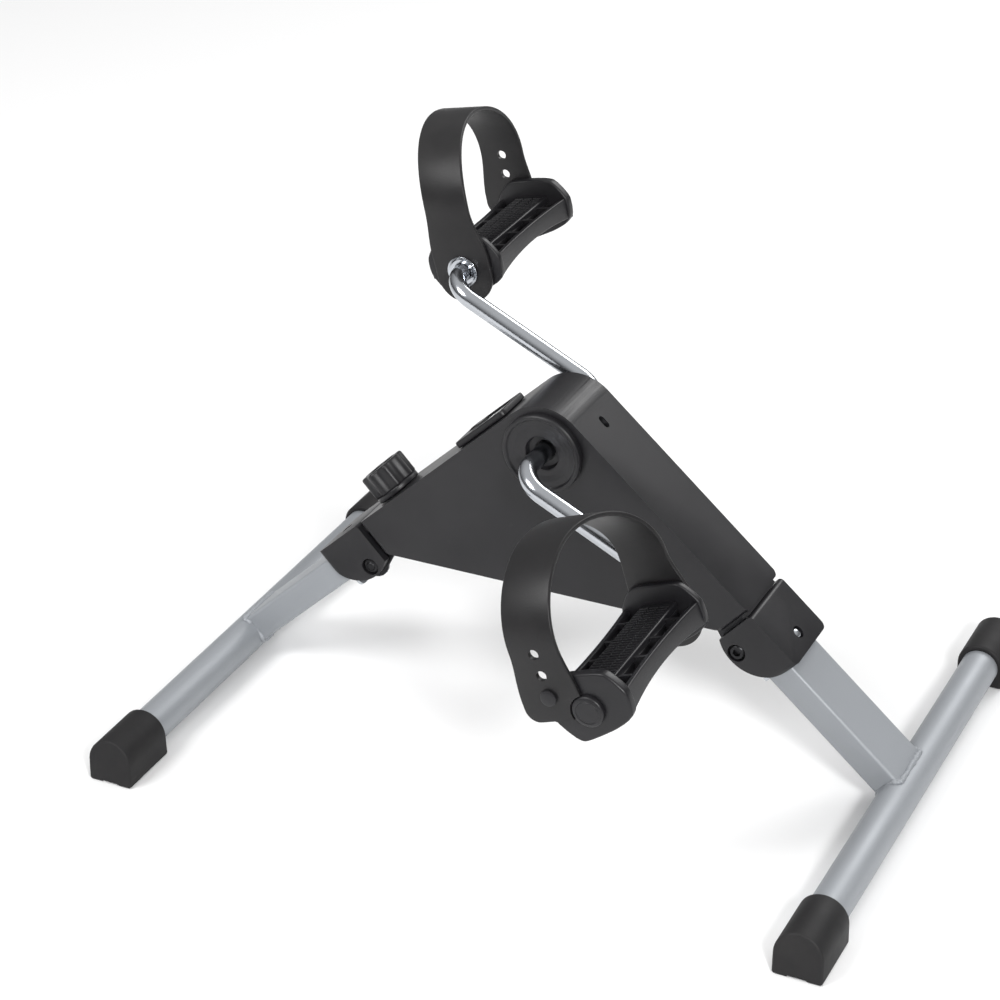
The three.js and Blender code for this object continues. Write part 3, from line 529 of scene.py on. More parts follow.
def felt_cloth(name, colour):
    """Pressed felt: short fibres, no gloss."""
    finish = Finish(name, 0.95)
    fibres = finish.group("Moulded Grain", Grain=2200.0, Patch=160.0)
    finish.colour(fibres.outputs["Height"], [c * 0.6 for c in colour], [c * 1.4 for c in colour])
    finish.bump(fibres.outputs["Height"], 0.0003)
    finish.shader.inputs["Sheen Weight"].default_value = 0.4
    return finish.material


def clear_window(name):
    """Smoked clear plastic with a few scuffs."""
    finish = Finish(name, 0.06)
    marks = finish.group("Handling Marks", Scuff_Scale=110.0)
    finish.roughness(marks.outputs["Scuffs"], 0.05, 0.3)
    finish.shader.inputs["Base Color"].default_value = (0.3, 0.33, 0.33, 1)
    finish.shader.inputs["Transmission Weight"].default_value = 0.9
    finish.shader.inputs["IOR"].default_value = 1.3
    return finish.material


def printed_board(name, colour, second, scale):
    """A smooth sheet with a fine grid of darker cells, such as a laminate or a crystal panel."""
    finish = Finish(name, 0.32)
    cells = finish.tree.nodes.new("ShaderNodeTexBrick")
    cells.inputs["Scale"].default_value = scale
    cells.inputs["Mortar Size"].default_value = 0.03
    cells.inputs["Color1"].default_value = (*colour, 1)
    cells.inputs["Color2"].default_value = (*[c * 0.93 for c in colour], 1)
    cells.inputs["Mortar"].default_value = (*second, 1)
    finish.tree.links.new(finish.where.outputs["Object"], cells.inputs["Vector"])
    finish.tree.links.new(cells.outputs["Color"], finish.shader.inputs["Base Color"])
    texture = finish.group("Moulded Grain")
    finish.roughness(texture.outputs["Patches"], 0.26, 0.38)
    return finish.material


MATERIALS = {}
# Nodes given a black finish instead of their slot's, as painted shade: on the chassis it darkens the gap between
# the casing and the hinge bracket, on the crank bushes the crank's well.
PAINTED_SHADE_LOOKS = {"chassis": "black_steel_and_gap_shade", "right_crank_bush": "painted_shade_nylon", "left_crank_bush": "painted_shade_nylon"}


def make_materials(colours):
    grain_group()
    scuff_group()
    drawn_group()
    MATERIALS["shell"] = moulded_plastic("casing_plastic", colours.plastic, 0.34, 0.44, 0.00005)
    MATERIALS["pedal"] = moulded_plastic("pedal_plastic", colours.plastic, 0.36, 0.46, 0.00004, 1300.0)
    MATERIALS["strap"] = soft_rubber("strap_rubber", colours.rubber, 0.4, 0.5, 1100.0, 0.04)
    MATERIALS["rubber"] = soft_rubber("cap_rubber", colours.rubber, 0.58, 0.7, 900.0)
    MATERIALS["paint"] = silver_paint("silver_paint", colours.paint)
    MATERIALS["chrome"] = bright_metal("bright_zinc", colours.zinc, 0.12, 0.24)
    MATERIALS["steel"] = bright_metal("plain_steel", (0.42, 0.42, 0.43), 0.28, 0.45)
    # Blackened steel for the hinge bolts and nuts; on the chassis it is painted shade for the gap by the hinge
    # bracket.
    MATERIALS["black_steel_and_gap_shade"] = bright_metal("blacked_steel_and_gap_shade", (0.035, 0.035, 0.037), 0.32, 0.48)
    MATERIALS["nylon"] = moulded_plastic("natural_nylon", (0.6, 0.58, 0.53), 0.42, 0.55, 0.00003)
    # Black nylon, used only on the crank bushes as painted shade in the crank's well.
    MATERIALS["painted_shade_nylon"] = moulded_plastic("painted_shade_nylon", (0.01, 0.01, 0.01), 0.42, 0.55, 0.00003)
    MATERIALS["felt"] = felt_cloth("brown_felt", (0.11, 0.07, 0.045))
    MATERIALS["lens"] = clear_window("display_window")
    MATERIALS["board"] = printed_board("green_laminate", (0.015, 0.1, 0.045), (0.2, 0.14, 0.05), 420.0)
    MATERIALS["screen"] = printed_board("crystal_panel", (0.3, 0.35, 0.27), (0.22, 0.26, 0.2), 700.0)


# ---- repeated details, made by Geometry Nodes ----
def node_tree(name, floats=(), integers=(), takes_geometry=False):
    """An empty geometry tree with named inputs; the material comes last."""
    tree = bpy.data.node_groups.new(name, "GeometryNodeTree")
    if takes_geometry:
        tree.interface.new_socket("Geometry", in_out="INPUT", socket_type="NodeSocketGeometry")
    for label in floats:
        tree.interface.new_socket(label, in_out="INPUT", socket_type="NodeSocketFloat")
    for label in integers:
        tree.interface.new_socket(label, in_out="INPUT", socket_type="NodeSocketInt")
    tree.interface.new_socket("Material", in_out="INPUT", socket_type="NodeSocketMaterial")
    tree.interface.new_socket("Geometry", in_out="OUTPUT", socket_type="NodeSocketGeometry")
    return tree, tree.nodes.new("NodeGroupInput"), tree.nodes.new("NodeGroupOutput")


def close_tree(tree, given, out, instances):
    """Realize Instances and Set Material, as every tree ends."""
    real = tree.nodes.new("GeometryNodeRealizeInstances")
    paint = tree.nodes.new("GeometryNodeSetMaterial")
    tree.links.new(instances, real.inputs["Geometry"])
    tree.links.new(real.outputs["Geometry"], paint.inputs["Geometry"])
    tree.links.new(given.outputs["Material"], paint.inputs["Material"])
    tree.links.new(paint.outputs["Geometry"], out.inputs["Geometry"])
    return tree


def rib_tree():
    """A row of round-topped ribs along Y, each lying along X."""
    tree, given, out = node_tree("Rib Row", ("Spacing", "Length", "Radius"), ("Count",))
    step = tree.nodes.new("ShaderNodeCombineXYZ")
    line = tree.nodes.new("GeometryNodeMeshLine")
    bar = tree.nodes.new("GeometryNodeCurvePrimitiveLine")
    half = tree.nodes.new("ShaderNodeMath")
    half.operation = "MULTIPLY"
    half.inputs[1].default_value = 0.5
    minus = tree.nodes.new("ShaderNodeMath")
    minus.operation = "MULTIPLY"
    minus.inputs[1].default_value = -0.5
    start = tree.nodes.new("ShaderNodeCombineXYZ")
    end = tree.nodes.new("ShaderNodeCombineXYZ")
    section = tree.nodes.new("GeometryNodeCurvePrimitiveCircle")
    section.inputs["Resolution"].default_value = 12
    sweep = tree.nodes.new("GeometryNodeCurveToMesh")
    sweep.inputs["Fill Caps"].default_value = True
    place = tree.nodes.new("GeometryNodeInstanceOnPoints")
    links = tree.links
    links.new(given.outputs["Spacing"], step.inputs["Y"])
    links.new(step.outputs["Vector"], line.inputs["Offset"])
    links.new(given.outputs["Count"], line.inputs["Count"])
    links.new(given.outputs["Length"], half.inputs[0])
    links.new(given.outputs["Length"], minus.inputs[0])
    links.new(minus.outputs[0], start.inputs["X"])
    links.new(half.outputs[0], end.inputs["X"])
    links.new(start.outputs["Vector"], bar.inputs["Start"])
    links.new(end.outputs["Vector"], bar.inputs["End"])
    links.new(given.outputs["Radius"], section.inputs["Radius"])
    links.new(bar.outputs["Curve"], sweep.inputs["Curve"])
    links.new(section.outputs["Curve"], sweep.inputs["Profile Curve"])
    links.new(line.outputs["Mesh"], place.inputs["Points"])
    links.new(sweep.outputs["Mesh"], place.inputs["Instance"])
    return close_tree(tree, given, out, place.outputs["Instances"])


def bead_tree():
    """A weld: overlapping ripples along an edge loop, each a little different."""
    tree, given, out = node_tree("Weld Bead", ("Pitch", "Radius"), (), True)
    path = tree.nodes.new("GeometryNodeMeshToCurve")
    even = tree.nodes.new("GeometryNodeResampleCurve")
    even.mode = "LENGTH"
    ripple = tree.nodes.new("GeometryNodeMeshIcoSphere")
    ripple.inputs["Subdivisions"].default_value = 3
    place = tree.nodes.new("GeometryNodeInstanceOnPoints")
    vary = tree.nodes.new("FunctionNodeRandomValue")
    vary.data_type = "FLOAT_VECTOR"
    vary.inputs["Min"].default_value = (0.7, 0.7, 0.7)
    vary.inputs["Max"].default_value = (1.1, 1.1, 1.1)
    vary.inputs["Seed"].default_value = 7
    links = tree.links
    links.new(given.outputs["Geometry"], path.inputs["Mesh"])
    links.new(path.outputs["Curve"], even.inputs["Curve"])
    links.new(given.outputs["Pitch"], even.inputs["Length"])
    links.new(given.outputs["Radius"], ripple.inputs["Radius"])
    links.new(even.outputs["Curve"], place.inputs["Points"])
    links.new(ripple.outputs["Mesh"], place.inputs["Instance"])
    links.new(vary.outputs["Value"], place.inputs["Scale"])
    return close_tree(tree, given, out, place.outputs["Instances"])


def cross_tree():
    """The cross recess of a screw head, as two crossed blades at each point."""
    tree, given, out = node_tree("Cross Recess", ("Span", "Blade", "Depth"), (), True)
    wide = tree.nodes.new("ShaderNodeCombineXYZ")
    tall = tree.nodes.new("ShaderNodeCombineXYZ")
    first = tree.nodes.new("GeometryNodeMeshCube")
    second = tree.nodes.new("GeometryNodeMeshCube")
    both = tree.nodes.new("GeometryNodeMeshBoolean")
    both.operation = "UNION"
    place = tree.nodes.new("GeometryNodeInstanceOnPoints")
    links = tree.links
    for node, across, along in ((wide, "X", "Y"), (tall, "Y", "X")):
        links.new(given.outputs["Span"], node.inputs[across])
        links.new(given.outputs["Blade"], node.inputs[along])
        links.new(given.outputs["Depth"], node.inputs["Z"])
    links.new(wide.outputs["Vector"], first.inputs["Size"])
    links.new(tall.outputs["Vector"], second.inputs["Size"])
    links.new(first.outputs["Mesh"], both.inputs["Mesh 2"])
    links.new(second.outputs["Mesh"], both.inputs["Mesh 2"])
    links.new(given.outputs["Geometry"], place.inputs["Points"])
    links.new(both.outputs["Mesh"], place.inputs["Instance"])
    return close_tree(tree, given, out, place.outputs["Instances"])


def run_tree(tree, material, mesh=None, **values):
    """The plain mesh that a tree makes, its inputs set by their identifiers."""
    piece = bench(mesh or bpy.data.meshes.new("seed"))
    step = piece.modifiers.new("detail", "NODES")
    step.node_group = tree
    for item in tree.interface.items_tree:
        if item.in_out == "INPUT" and item.name in values:
            step[item.identifier] = values[item.name]
        if item.in_out == "INPUT" and item.name == "Material":
            step[item.identifier] = material
    result = evaluated_mesh(piece)
    bpy.data.objects.remove(piece)
    return result


# ---- casing ----
def roof_outline(depth, end, floor, steps=56):
    """The house-shaped outline of the casing, a given depth under its two slopes."""
    radius = CREST - depth
    end_x, end_z = from_slope(end, -depth)
    foot_x = end_x - (end_z - floor) * SLOPE_SIN / SLOPE_COS
    turn = math.degrees(SLOPE_ANGLE)
    crest = arc((0, CRANK.z / MM), radius, 90 - turn, 90 + turn, steps)
    return [(foot_x, floor), (end_x, end_z), *crest, (-end_x, end_z), (-foot_x, floor)]


def in_slope(mesh, side):
    """A shape drawn in one slope's frame, moved to the main frame, both in millimetres."""
    to_main = Matrix.Scale(1 / MM, 4) @ slope_place(side) @ Matrix.Scale(MM, 4)
    return turn_mesh(mesh, to_main)


def stadium(middle, length, width):
    """A slot's outline, long in X, round at both ends."""
    half = (length - width) / 2
    ends = arc((middle + half, 0), width / 2, -90, 90, 16)
    return ends + arc((middle - half, 0), width / 2, 90, 270, 16)


def casing_mesh(sizes):
    """The hollow casing: two slopes over a round crest, with its openings and one screw boss."""
    low, high = extent("main_cover")
    reach = extent("main_cover", slope_place(1))[1].x
    half, floor, wall = high.y, low.z, sizes.casing_wall
    corners = [
        in_slope(corner_cutter(reach, across * half, CORNER), side)
        for side in (1, -1)
        for across in (1, -1)
    ]
    shell = combine(prism(roof_outline(0, reach, floor), -half, half), cut=corners)
    shell = soften(shell, sizes.casing_round, 5, 20)
    inside = prism(roof_outline(wall, reach - wall, floor - 2 * REACH), wall - half, half - wall)
    hollow = combine(shell, cut=[inside])

    slot_at = node_middle("cover_screw", slope_place(1))[0]
    slot_length, slot_width, slot_depth = 9, 5, 5
    boss_radius, boss_depth, bore_radius = 6, 8.9, 1.8
    slot = upright(stadium(slot_at, slot_length, slot_width), -slot_depth, REACH)
    boss = upright(circle(boss_radius, slot_at), -boss_depth, -wall / 2)
    bore = upright(circle(bore_radius, slot_at, steps=24), -boss_depth - 1.1, 0)
    cut = [in_slope(slot, 1), in_slope(bore, 1)]

    notch_half = extent("chassis")[1].y + 0.5
    notch_up = (-47, -8.5)
    for side in (1, -1):
        notch = block((reach - wall - REACH, reach + 3), (-notch_half, notch_half), notch_up)
        cut.append(in_slope(notch, side))

    case = extent("display_case", slope_place(-1))
    window_half = 12.8
    window_along = (case[0].x + 3.7, case[1].x - 2.7)
    window = block(window_along, (-window_half, window_half), (-wall - REACH, REACH))
    knob_at = node_middle("tension_knob", slope_place(-1))[0]
    shaft_radius = 3.4
    shaft_hole = upright(circle(shaft_radius, knob_at, steps=32), -wall - REACH, REACH)
    cut += [in_slope(window, -1), in_slope(shaft_hole, -1)]

    collar = extent("right_crank_cover")[0].y
    cut.append(prism(circle(sizes.crank_hole, 0, CRANK.z / MM), collar - REACH, REACH - collar))

    # A lip at each end closes the gap to the hinge bracket.
    lip_past, lip_inset, lip_up = 2.6, 4, (-8.2, -3)
    lips = []
    for side in (1, -1):
        lip = block((reach - wall, reach + lip_past), (lip_inset - half, half - lip_inset), lip_up)
        lips.append(in_slope(lip, side))
    return combine(hollow, add=[in_slope(boss, 1), *lips], cut=cut)


def crank_cover_mesh(side):
    """A dished ring round the crank: a thin raised rim and a dark well in the middle."""
    low, high = extent("left_crank_cover")
    face = high.y - 5
    rim = (high.x - low.x) / 2
    bore = 7.2
    ring = fillet(
        [
            (bore, low.y, 0.3),
            (12.7, low.y, 0.6),
            (12.7, face, 0.2),
            (rim, face, 0.3),
            (rim, face + 4.2, 1.2),
            (rim - 1.1, face + 5, 0.7),
            (rim - 2.6, face + 5, 0.7),
            (rim - 3.6, face + 3.6, 1.2),
            (rim - 7.5, face + 3.6, 3),
            (15.6, face + 2.7, 2),
            (11.6, face + 2.4, 0.8),
            (11.0, face - 2.2, 0.8),
            (bore, face - 2.6, 0.4),
        ],
        0.4,
        6,
    )
    return turned([(r, side * y) for r, y in ring], 128)


# ---- display and tension knob ----
def display_case_mesh():
    """The display's housing: a face with a window and a button hole, over a hollow body."""
    place = slope_place(-1)
    low, high = extent("display_case", place)
    rise, half = high.z, high.y
    face = soften(upright(rectangle((low.x, high.x), (-half, half), 4, 8), GAP, rise), 1.0, 4)
    body = block((low.x + 4, high.x - 3), (3 - half, half - 3), (low.z, 2 * GAP))
    lens = extent("display_lens", place)
    button_at = node_middle("display_button", place)[0]
    button_hole, finger_dish, dish_depth = 3.5, 5.2, 0.5
    cut = [
        block((low.x + 6, high.x - 5), (4.7 - half, half - 4.7), (low.z - REACH, 2.6)),
        block((low.x + 7, low.x + 30), (6 - half, half - 6), (0, rise + REACH)),
        upright(
            rectangle((lens[0].x - GAP, lens[1].x + GAP), (lens[0].y - GAP, lens[1].y + GAP), 1.2),
            lens[0].z - GAP,
            rise + REACH,
        ),
        upright(circle(button_hole, button_at, steps=48), 0, rise + REACH),
        upright(circle(finger_dish, button_at), rise - dish_depth, rise + REACH),
    ]
    return combine(face, add=[body], cut=cut)


def display_lens_mesh():
    """The window, a little below the rim of its opening."""
    low, high = extent("display_lens", slope_place(-1))
    outline = rectangle((low.x, high.x), (low.y, high.y), 1, 6)
    return soften(upright(outline, low.z, high.z - 0.7), 0.25, 2)


def display_button_mesh():
    """The mode button: a flange under the face and a domed top."""
    low, high = extent("display_button", slope_place(-1))
    radius, flange, flange_top, dome = 3.2, 1.2, 2.3, 0.7
    profile = [(0, low.z), (radius + flange, low.z), (radius + flange, flange_top), (radius, flange_top)]
    profile.append((radius, high.z - dome))
    profile += [(r, high.z - dome * (r / radius) ** 4) for r in (3.0, 2.6, 1.8)]
    mesh = turned([*profile, (0, high.z)], 64)
    return shift(stand(mesh), (low.x + high.x) / 2)


def knob_mesh(sizes):
    """A lobed hand knob with a skirt below and a shallow dish on top."""
    low, high = extent("tension_knob", slope_place(-1))
    middle, radius, top = (low.x + high.x) / 2, high.y, high.z
    lobes, depth, skirt_rise, shaft_radius = sizes.knob_lobes, 1.1, 3.2, 3.1
    outline = []
    for i in range(lobes * 18):
        angle = 2 * math.pi * i / (lobes * 18)
        reach = radius - depth + depth * math.cos(lobes * angle)
        outline.append((reach * math.cos(angle), reach * math.sin(angle)))
    grip = soften(upright(outline, low.z + skirt_rise, top), 1.6, 4, 50)
    skirt = upright(circle(radius - 0.4, steps=128), low.z, low.z + skirt_rise + 0.6)
    skirt = soften(skirt, 0.8, 3)
    dish = [(0, top - 1.4), (radius - 6.5, top - 1.2), (radius - 5, top + REACH), (0, top + REACH)]
    bore = upright(circle(shaft_radius, steps=32), low.z - REACH, top - 7)
    return shift(combine(grip, add=[skirt], cut=[stand(turned(dish, 96)), bore]), middle)


# ---- legs ----
LATCH_TAB_BACK = 12  # from the latch's nose back to its finger tab


def leg_tube_mesh(sizes):
    """The rectangular tube, open at the hinge and fish-mouthed round the foot bar."""
    place = slope_place(1)
    low, high = extent("front_leg_tube", place)
    bar_x, _, bar_z = node_middle("front_foot_bar", place)
    wall, half = sizes.tube_wall, high.y
    outer = rectangle((-half, half), (low.z, high.z), sizes.tube_corner, 6)
    inner = rectangle((wall - half, half - wall), (low.z + wall, high.z - wall), 1.2, 4)
    tube = run_along_x(outer, low.x, bar_x)
    mouth_radius, screw_radius = 12.55, 1.9
    tab_x = extent("front_latch", place)[1].x - LATCH_TAB_BACK
    slot_half, slot_top = 6.5, 8
    cut = [
        run_along_x(inner, low.x - REACH, bar_x + REACH),
        prism(circle(mouth_radius, bar_x, bar_z, 96), -half - REACH, half + REACH),
        block((tab_x - 3, tab_x + 6.8), (-slot_half, slot_half), (low.z - REACH, low.z + slot_top)),
        upright(circle(screw_radius, tube_screw_at(), steps=32), high.z - wall - REACH, high.z + REACH),
    ]
    return combine(tube, cut=cut)


def tube_screw_at():
    """Where the screw through bracket and tube stands along the slope."""
    return node_middle("front_bracket_screw", slope_place(1))[0]


def weld_path():
    """The loop where the leg tube meets the foot bar."""
    place = slope_place(1)
    low, high = extent("front_leg_tube", place)
    bar_low, bar_high = extent("front_foot_bar", place)
    bar_x, bar_z = (bar_low.x + bar_high.x) / 2, (bar_low.z + bar_high.z) / 2
    radius = (bar_high.x - bar_low.x) / 2
    proud = 0.1
    half = high.y + proud
    loop = []
    for y, z in rectangle((-half, half), (low.z - proud, high.z + proud), 3, 6):
        reach = math.sqrt(max(radius**2 - (z - bar_z) ** 2, 0))
        loop.append((bar_x - reach - 2 * proud, y, z))
    mesh = bpy.data.meshes.new("path")
    count = len(loop)
    mesh.from_pydata(loop, [(i, (i + 1) % count) for i in range(count)], [])
    return mesh


def bracket_mesh(sizes):
    """The moulded hinge bracket: a roof over the tube and two lobes round the pivot."""
    place = slope_place(1)
    low, high = extent("front_hinge_bracket", place)
    pivot_x, _, pivot_z = node_middle("front_pivot_bolt", place)
    start, end, half = low.x, high.x, high.y
    lobe = (pivot_x + 1.6, -8.0)
    radius = lobe[1] - low.z
    back = math.sqrt(radius**2 - (lobe[0] - start) ** 2)
    first = math.degrees(math.atan2(-back, start - lobe[0]))
    nose = 3
    outline = [(end, 0), *arc((start + nose, -nose), nose, 90, 180, 8)]
    outline += arc(lobe, radius, first, 0, 60)
    corners = [corner_cutter(end, side * half, CORNER) for side in (-1, 1)]
    body = combine(prism(outline, -half, half), cut=corners)
    body = soften(body, sizes.bracket_round, 4, 24)
    tube_half = extent("front_leg_tube", place)[1].y + GAP
    roof, screw_at = -7.7, tube_screw_at()
    bolt_radius, sink_radius, sink = 3.3, 6.1, 3.4
    screw_radius, head_radius, head = 2.2, 4.2, 2.2
    cut = [
        block((start - REACH, end + REACH), (-tube_half, tube_half), (low.z - REACH, roof)),
        prism(circle(bolt_radius, pivot_x, pivot_z, 48), -half - REACH, half + REACH),
        prism(circle(sink_radius, pivot_x, pivot_z), -half - REACH, -half + sink),
        prism(circle(sink_radius, pivot_x, pivot_z), half - sink, half + REACH),
        upright(circle(screw_radius, screw_at, steps=32), -9, REACH),
        upright(circle(head_radius, screw_at, steps=48), -head, REACH),
    ]
    return combine(body, cut=cut)


def foot_cap_mesh(side, sizes):
    """A rubber cap: half-round over the bar, flat below with four small feet, its end leaning out."""
    name = "front_left_foot_cap" if side > 0 else "front_right_foot_cap"
    low, high = extent(name)
    bar = extent("front_foot_bar")
    middle, centre = (low.x + high.x) / 2, (bar[0].z + bar[1].z) / 2
    half = (high.x - low.x) / 2
    outer, inner = (high.y, low.y) if side > 0 else (low.y, high.y)
    left, right, heel = middle - half, middle + half, 2
    corners = [(left, 0, heel), (right, 0, heel), (right, centre, 0), (left, centre, 0)]
    outline = fillet(corners, 0)[:-2]
    outline += arc((middle, centre), half, 0, 180, 40)
    body = soften(prism(outline, min(inner, outer), max(inner, outer)), sizes.cap_round, 4, 40)
    leaning = 14  # how far in from the end the lean reaches
    for vertex in body.vertices:
        along = max(0.0, 1 - abs(vertex.co.y - outer) / leaning)
        vertex.co.y -= side * sizes.cap_lean * along * max(0.0, vertex.co.z / high.z) ** 1.5
    end_wall, foot_length = 6.5, 12
    arch_half, arch_rise, hollow_rise = 6.5, 1.9, 1.1
    bore_ends = sorted((inner - side * REACH, outer - side * end_wall))
    arch_ends = sorted((inner - side * REACH, outer + side * REACH))
    hollow_ends = sorted((inner + side * foot_length, outer - side * foot_length))
    cut = [
        prism(circle(bar_radius() + 0.1, middle, centre), *bore_ends),
        block((middle - arch_half, middle + arch_half), arch_ends, (-REACH, arch_rise)),
        block((left - REACH, right + REACH), hollow_ends, (-REACH, hollow_rise)),
    ]
    return combine(body, cut=cut)


def bar_radius():
    low, high = extent("front_foot_bar")
    return (high.z - low.z) / 2


def foot_bar_mesh():
    """The round foot bar, an open tube."""
    low, high = extent("front_foot_bar")
    radius, wall = bar_radius(), 1.5
    ring = [(radius, low.y), (radius, high.y), (radius - wall, high.y), (radius - wall, low.y)]
    return shift(turned(ring, 96), (low.x + high.x) / 2, 0, (low.z + high.z) / 2)


def screw_mesh(node, place, cross):
    """A pan-head screw with a cross recess, in its CAD node's place; its head faces up."""
    low, high = extent(node, place)
    radius, top = (high.x - low.x) / 2, high.z
    shank, tip, under_head = 1.6, low.z - top, -0.62 * radius
    dome = [(radius * math.cos(a), -0.55 * radius * (1 - math.sin(a))) for a in (0.15, 0.45, 0.8, 1.2)]
    profile = [(0, tip), (shank, tip), (shank, under_head), (radius, under_head)]
    body = stand(turned([*profile, *dome, (0, 0)], 48))
    seed = bpy.data.meshes.new("seed")
    seed.from_pydata([(0, 0, 0)], [], [])
    blades = {"Span": radius * 1.15, "Blade": radius * 0.26, "Depth": radius * 0.8}
    recess = run_tree(cross, MATERIALS["chrome"], seed, **blades)
    middle = (low + high) / 2
    return shift(combine(body, cut=[recess]), middle.x, middle.y, top)


def pivot_bolt_mesh():
    """The hinge bolt: a low head with a hexagon socket and a plain shank."""
    low, high = extent("front_pivot_bolt", slope_place(1))
    radius, shank, edge = (high.x - low.x) / 2, 3, 0.7
    under_head, socket_floor, socket_radius = low.y + 2.8, low.y + 2.2, 2.8
    profile = [(0, low.y), (radius - edge, low.y), (radius, low.y + edge), (radius, under_head)]
    profile += [(shank, under_head), (shank, high.y - 0.5), (shank - 0.5, high.y), (0, high.y)]
    socket = prism(circle(socket_radius, steps=6), low.y - REACH, socket_floor)
    return shift(combine(turned(profile, 64), cut=[socket]), (low.x + high.x) / 2, 0, (low.z + high.z) / 2)


def pivot_nut_mesh():
    """The hinge nut: a hexagon with its outer corners turned off."""
    low, high = extent("front_pivot_nut", slope_place(1))
    radius, bore_radius = (high.x - low.x) / 2, 3.15
    nut = prism(circle(max(radius, (high.z - low.z) / 2), steps=6), low.y, high.y)
    bore = prism(circle(bore_radius, steps=32), low.y - REACH, high.y + REACH)
    cone = [(0, low.y), (radius + 2, low.y), (radius + 2, high.y - 1.6)]
    cone += [(radius - 0.9, high.y), (0, high.y)]
    body = combine(combine(nut, cut=[bore]), keep=[turned(cone)])
    return shift(body, (low.x + high.x) / 2, 0, (low.z + high.z) / 2)


def latch_mesh():
    """The sprung latch: a slide inside the tube and a pressed finger tab below it."""
    low, high = extent("front_latch", slope_place(1))
    stem, slide_low, finger_high = 6, high.z - 6.7, low.z + 7.9
    tab_x, tab_thick = high.x - LATCH_TAB_BACK, 2.2
    slide = block((low.x, high.x), (-stem, stem), (slide_low, high.z))
    finger = high.y
    tee = [(finger, low.z, 4), (finger, finger_high, 1.5), (stem, finger_high, 1), (stem, slide_low + 1, 0)]
    tee += [(-y, z, r) for y, z, r in reversed(tee)]
    tab = run_along_x(fillet(tee, 0, 8), tab_x - tab_thick, tab_x)
    return soften(combine(slide, add=[tab]), 0.45, 3, 40)


# ---- cranks ----
def crank_path(side, sizes):
    """The centre line of one crank rod: out of the hub, along the arm and out through the pedal."""
    low, high = extent("left_crank_rod", CRANK_PLACE)
    bend = sizes.crank_bend
    arm = extent("left_axle_washer", CRANK_PLACE)[0].y - bend - 1
    points = [(0, max(low.y, 1))]
    points += arc((bend, arm - bend), bend, 180, 90, 24)
    points += arc((CRANK_THROW - bend, arm + bend), bend, -90, 0, 24)
    points.append((CRANK_THROW, high.y))
    return [Vector((-side * x, side * y, 0)) for x, y in points]


def crank_rod_mesh(side, sizes):
    """A round rod swept along the crank's centre line."""
    path = crank_path(side, sizes)
    sections = []
    for i, point in enumerate(path):
        ahead = path[min(i + 1, len(path) - 1)] - point
        behind = point - path[max(i - 1, 0)]
        along = (ahead.normalized() + behind.normalized()).normalized()
        across = along.cross(Vector((0, 0, 1))).normalized()
        ring = [point + across * x + Vector((0, 0, z)) for x, z in circle(sizes.rod_radius, steps=48)]
        sections.append([tuple(p) for p in ring])
    return loft(sections)


def washer_mesh(side):
    """A dished washer, hollow towards the crank's arm."""
    low, high = extent("left_axle_washer", CRANK_PLACE)
    radius, bore_radius, edge = (high.z - low.z) / 2, 6.3, 0.25
    lift = (high.y - low.y) * 0.55
    ring = [(bore_radius, low.y + lift), (radius - 2.2, low.y + lift * 0.8)]
    ring += [(radius - 0.8, low.y), (radius, low.y + edge), (radius, high.y), (bore_radius, high.y)]
    ring = fillet(ring, edge, 4)
    return shift(turned([(r, side * y) for r, y in ring], 96), -side * CRANK_THROW)


# ---- pedals ----
DECK_TOP = 11  # the deck's surface above the axle
PEG_INSET = 6  # the strap peg behind the pedal's rear edge
PEG_UP = 12  # the strap peg above the axle
CAP_PLUG = 5  # how far the end cap's plug reaches into the pedal


def smooth_outline(points, steps=8):
    """A closed curve through the points, leaning a little to the straight."""
    tension = 0.35
    curve = []
    count = len(points)
    for i in range(count):
        a, b, c, d = (Vector(points[(i + k - 1) % count]) for k in range(4))
        into, out_of = (c - a) * tension, (d - b) * tension
        for k in range(steps):
            t = k / steps
            place = b * (2 * t**3 - 3 * t**2 + 1) + into * (t**3 - 2 * t**2 + t)
            place = place + c * (3 * t**2 - 2 * t**3) + out_of * (t**3 - t**2)
            curve.append((place.x, place.y))
    return curve


def cheek_outline(half):
    """The side of a pedal: high over the axle, its belly hanging to the rear."""
    top = [(half, -4), (half, 9), (17, 21.5), (0, 23), (-17, 21.5), (-half, 9), (-half, -3)]
    belly = [(-20, -14), (-11, -21), (10, -15.5), (22, -10)]
    return smooth_outline(top + belly)


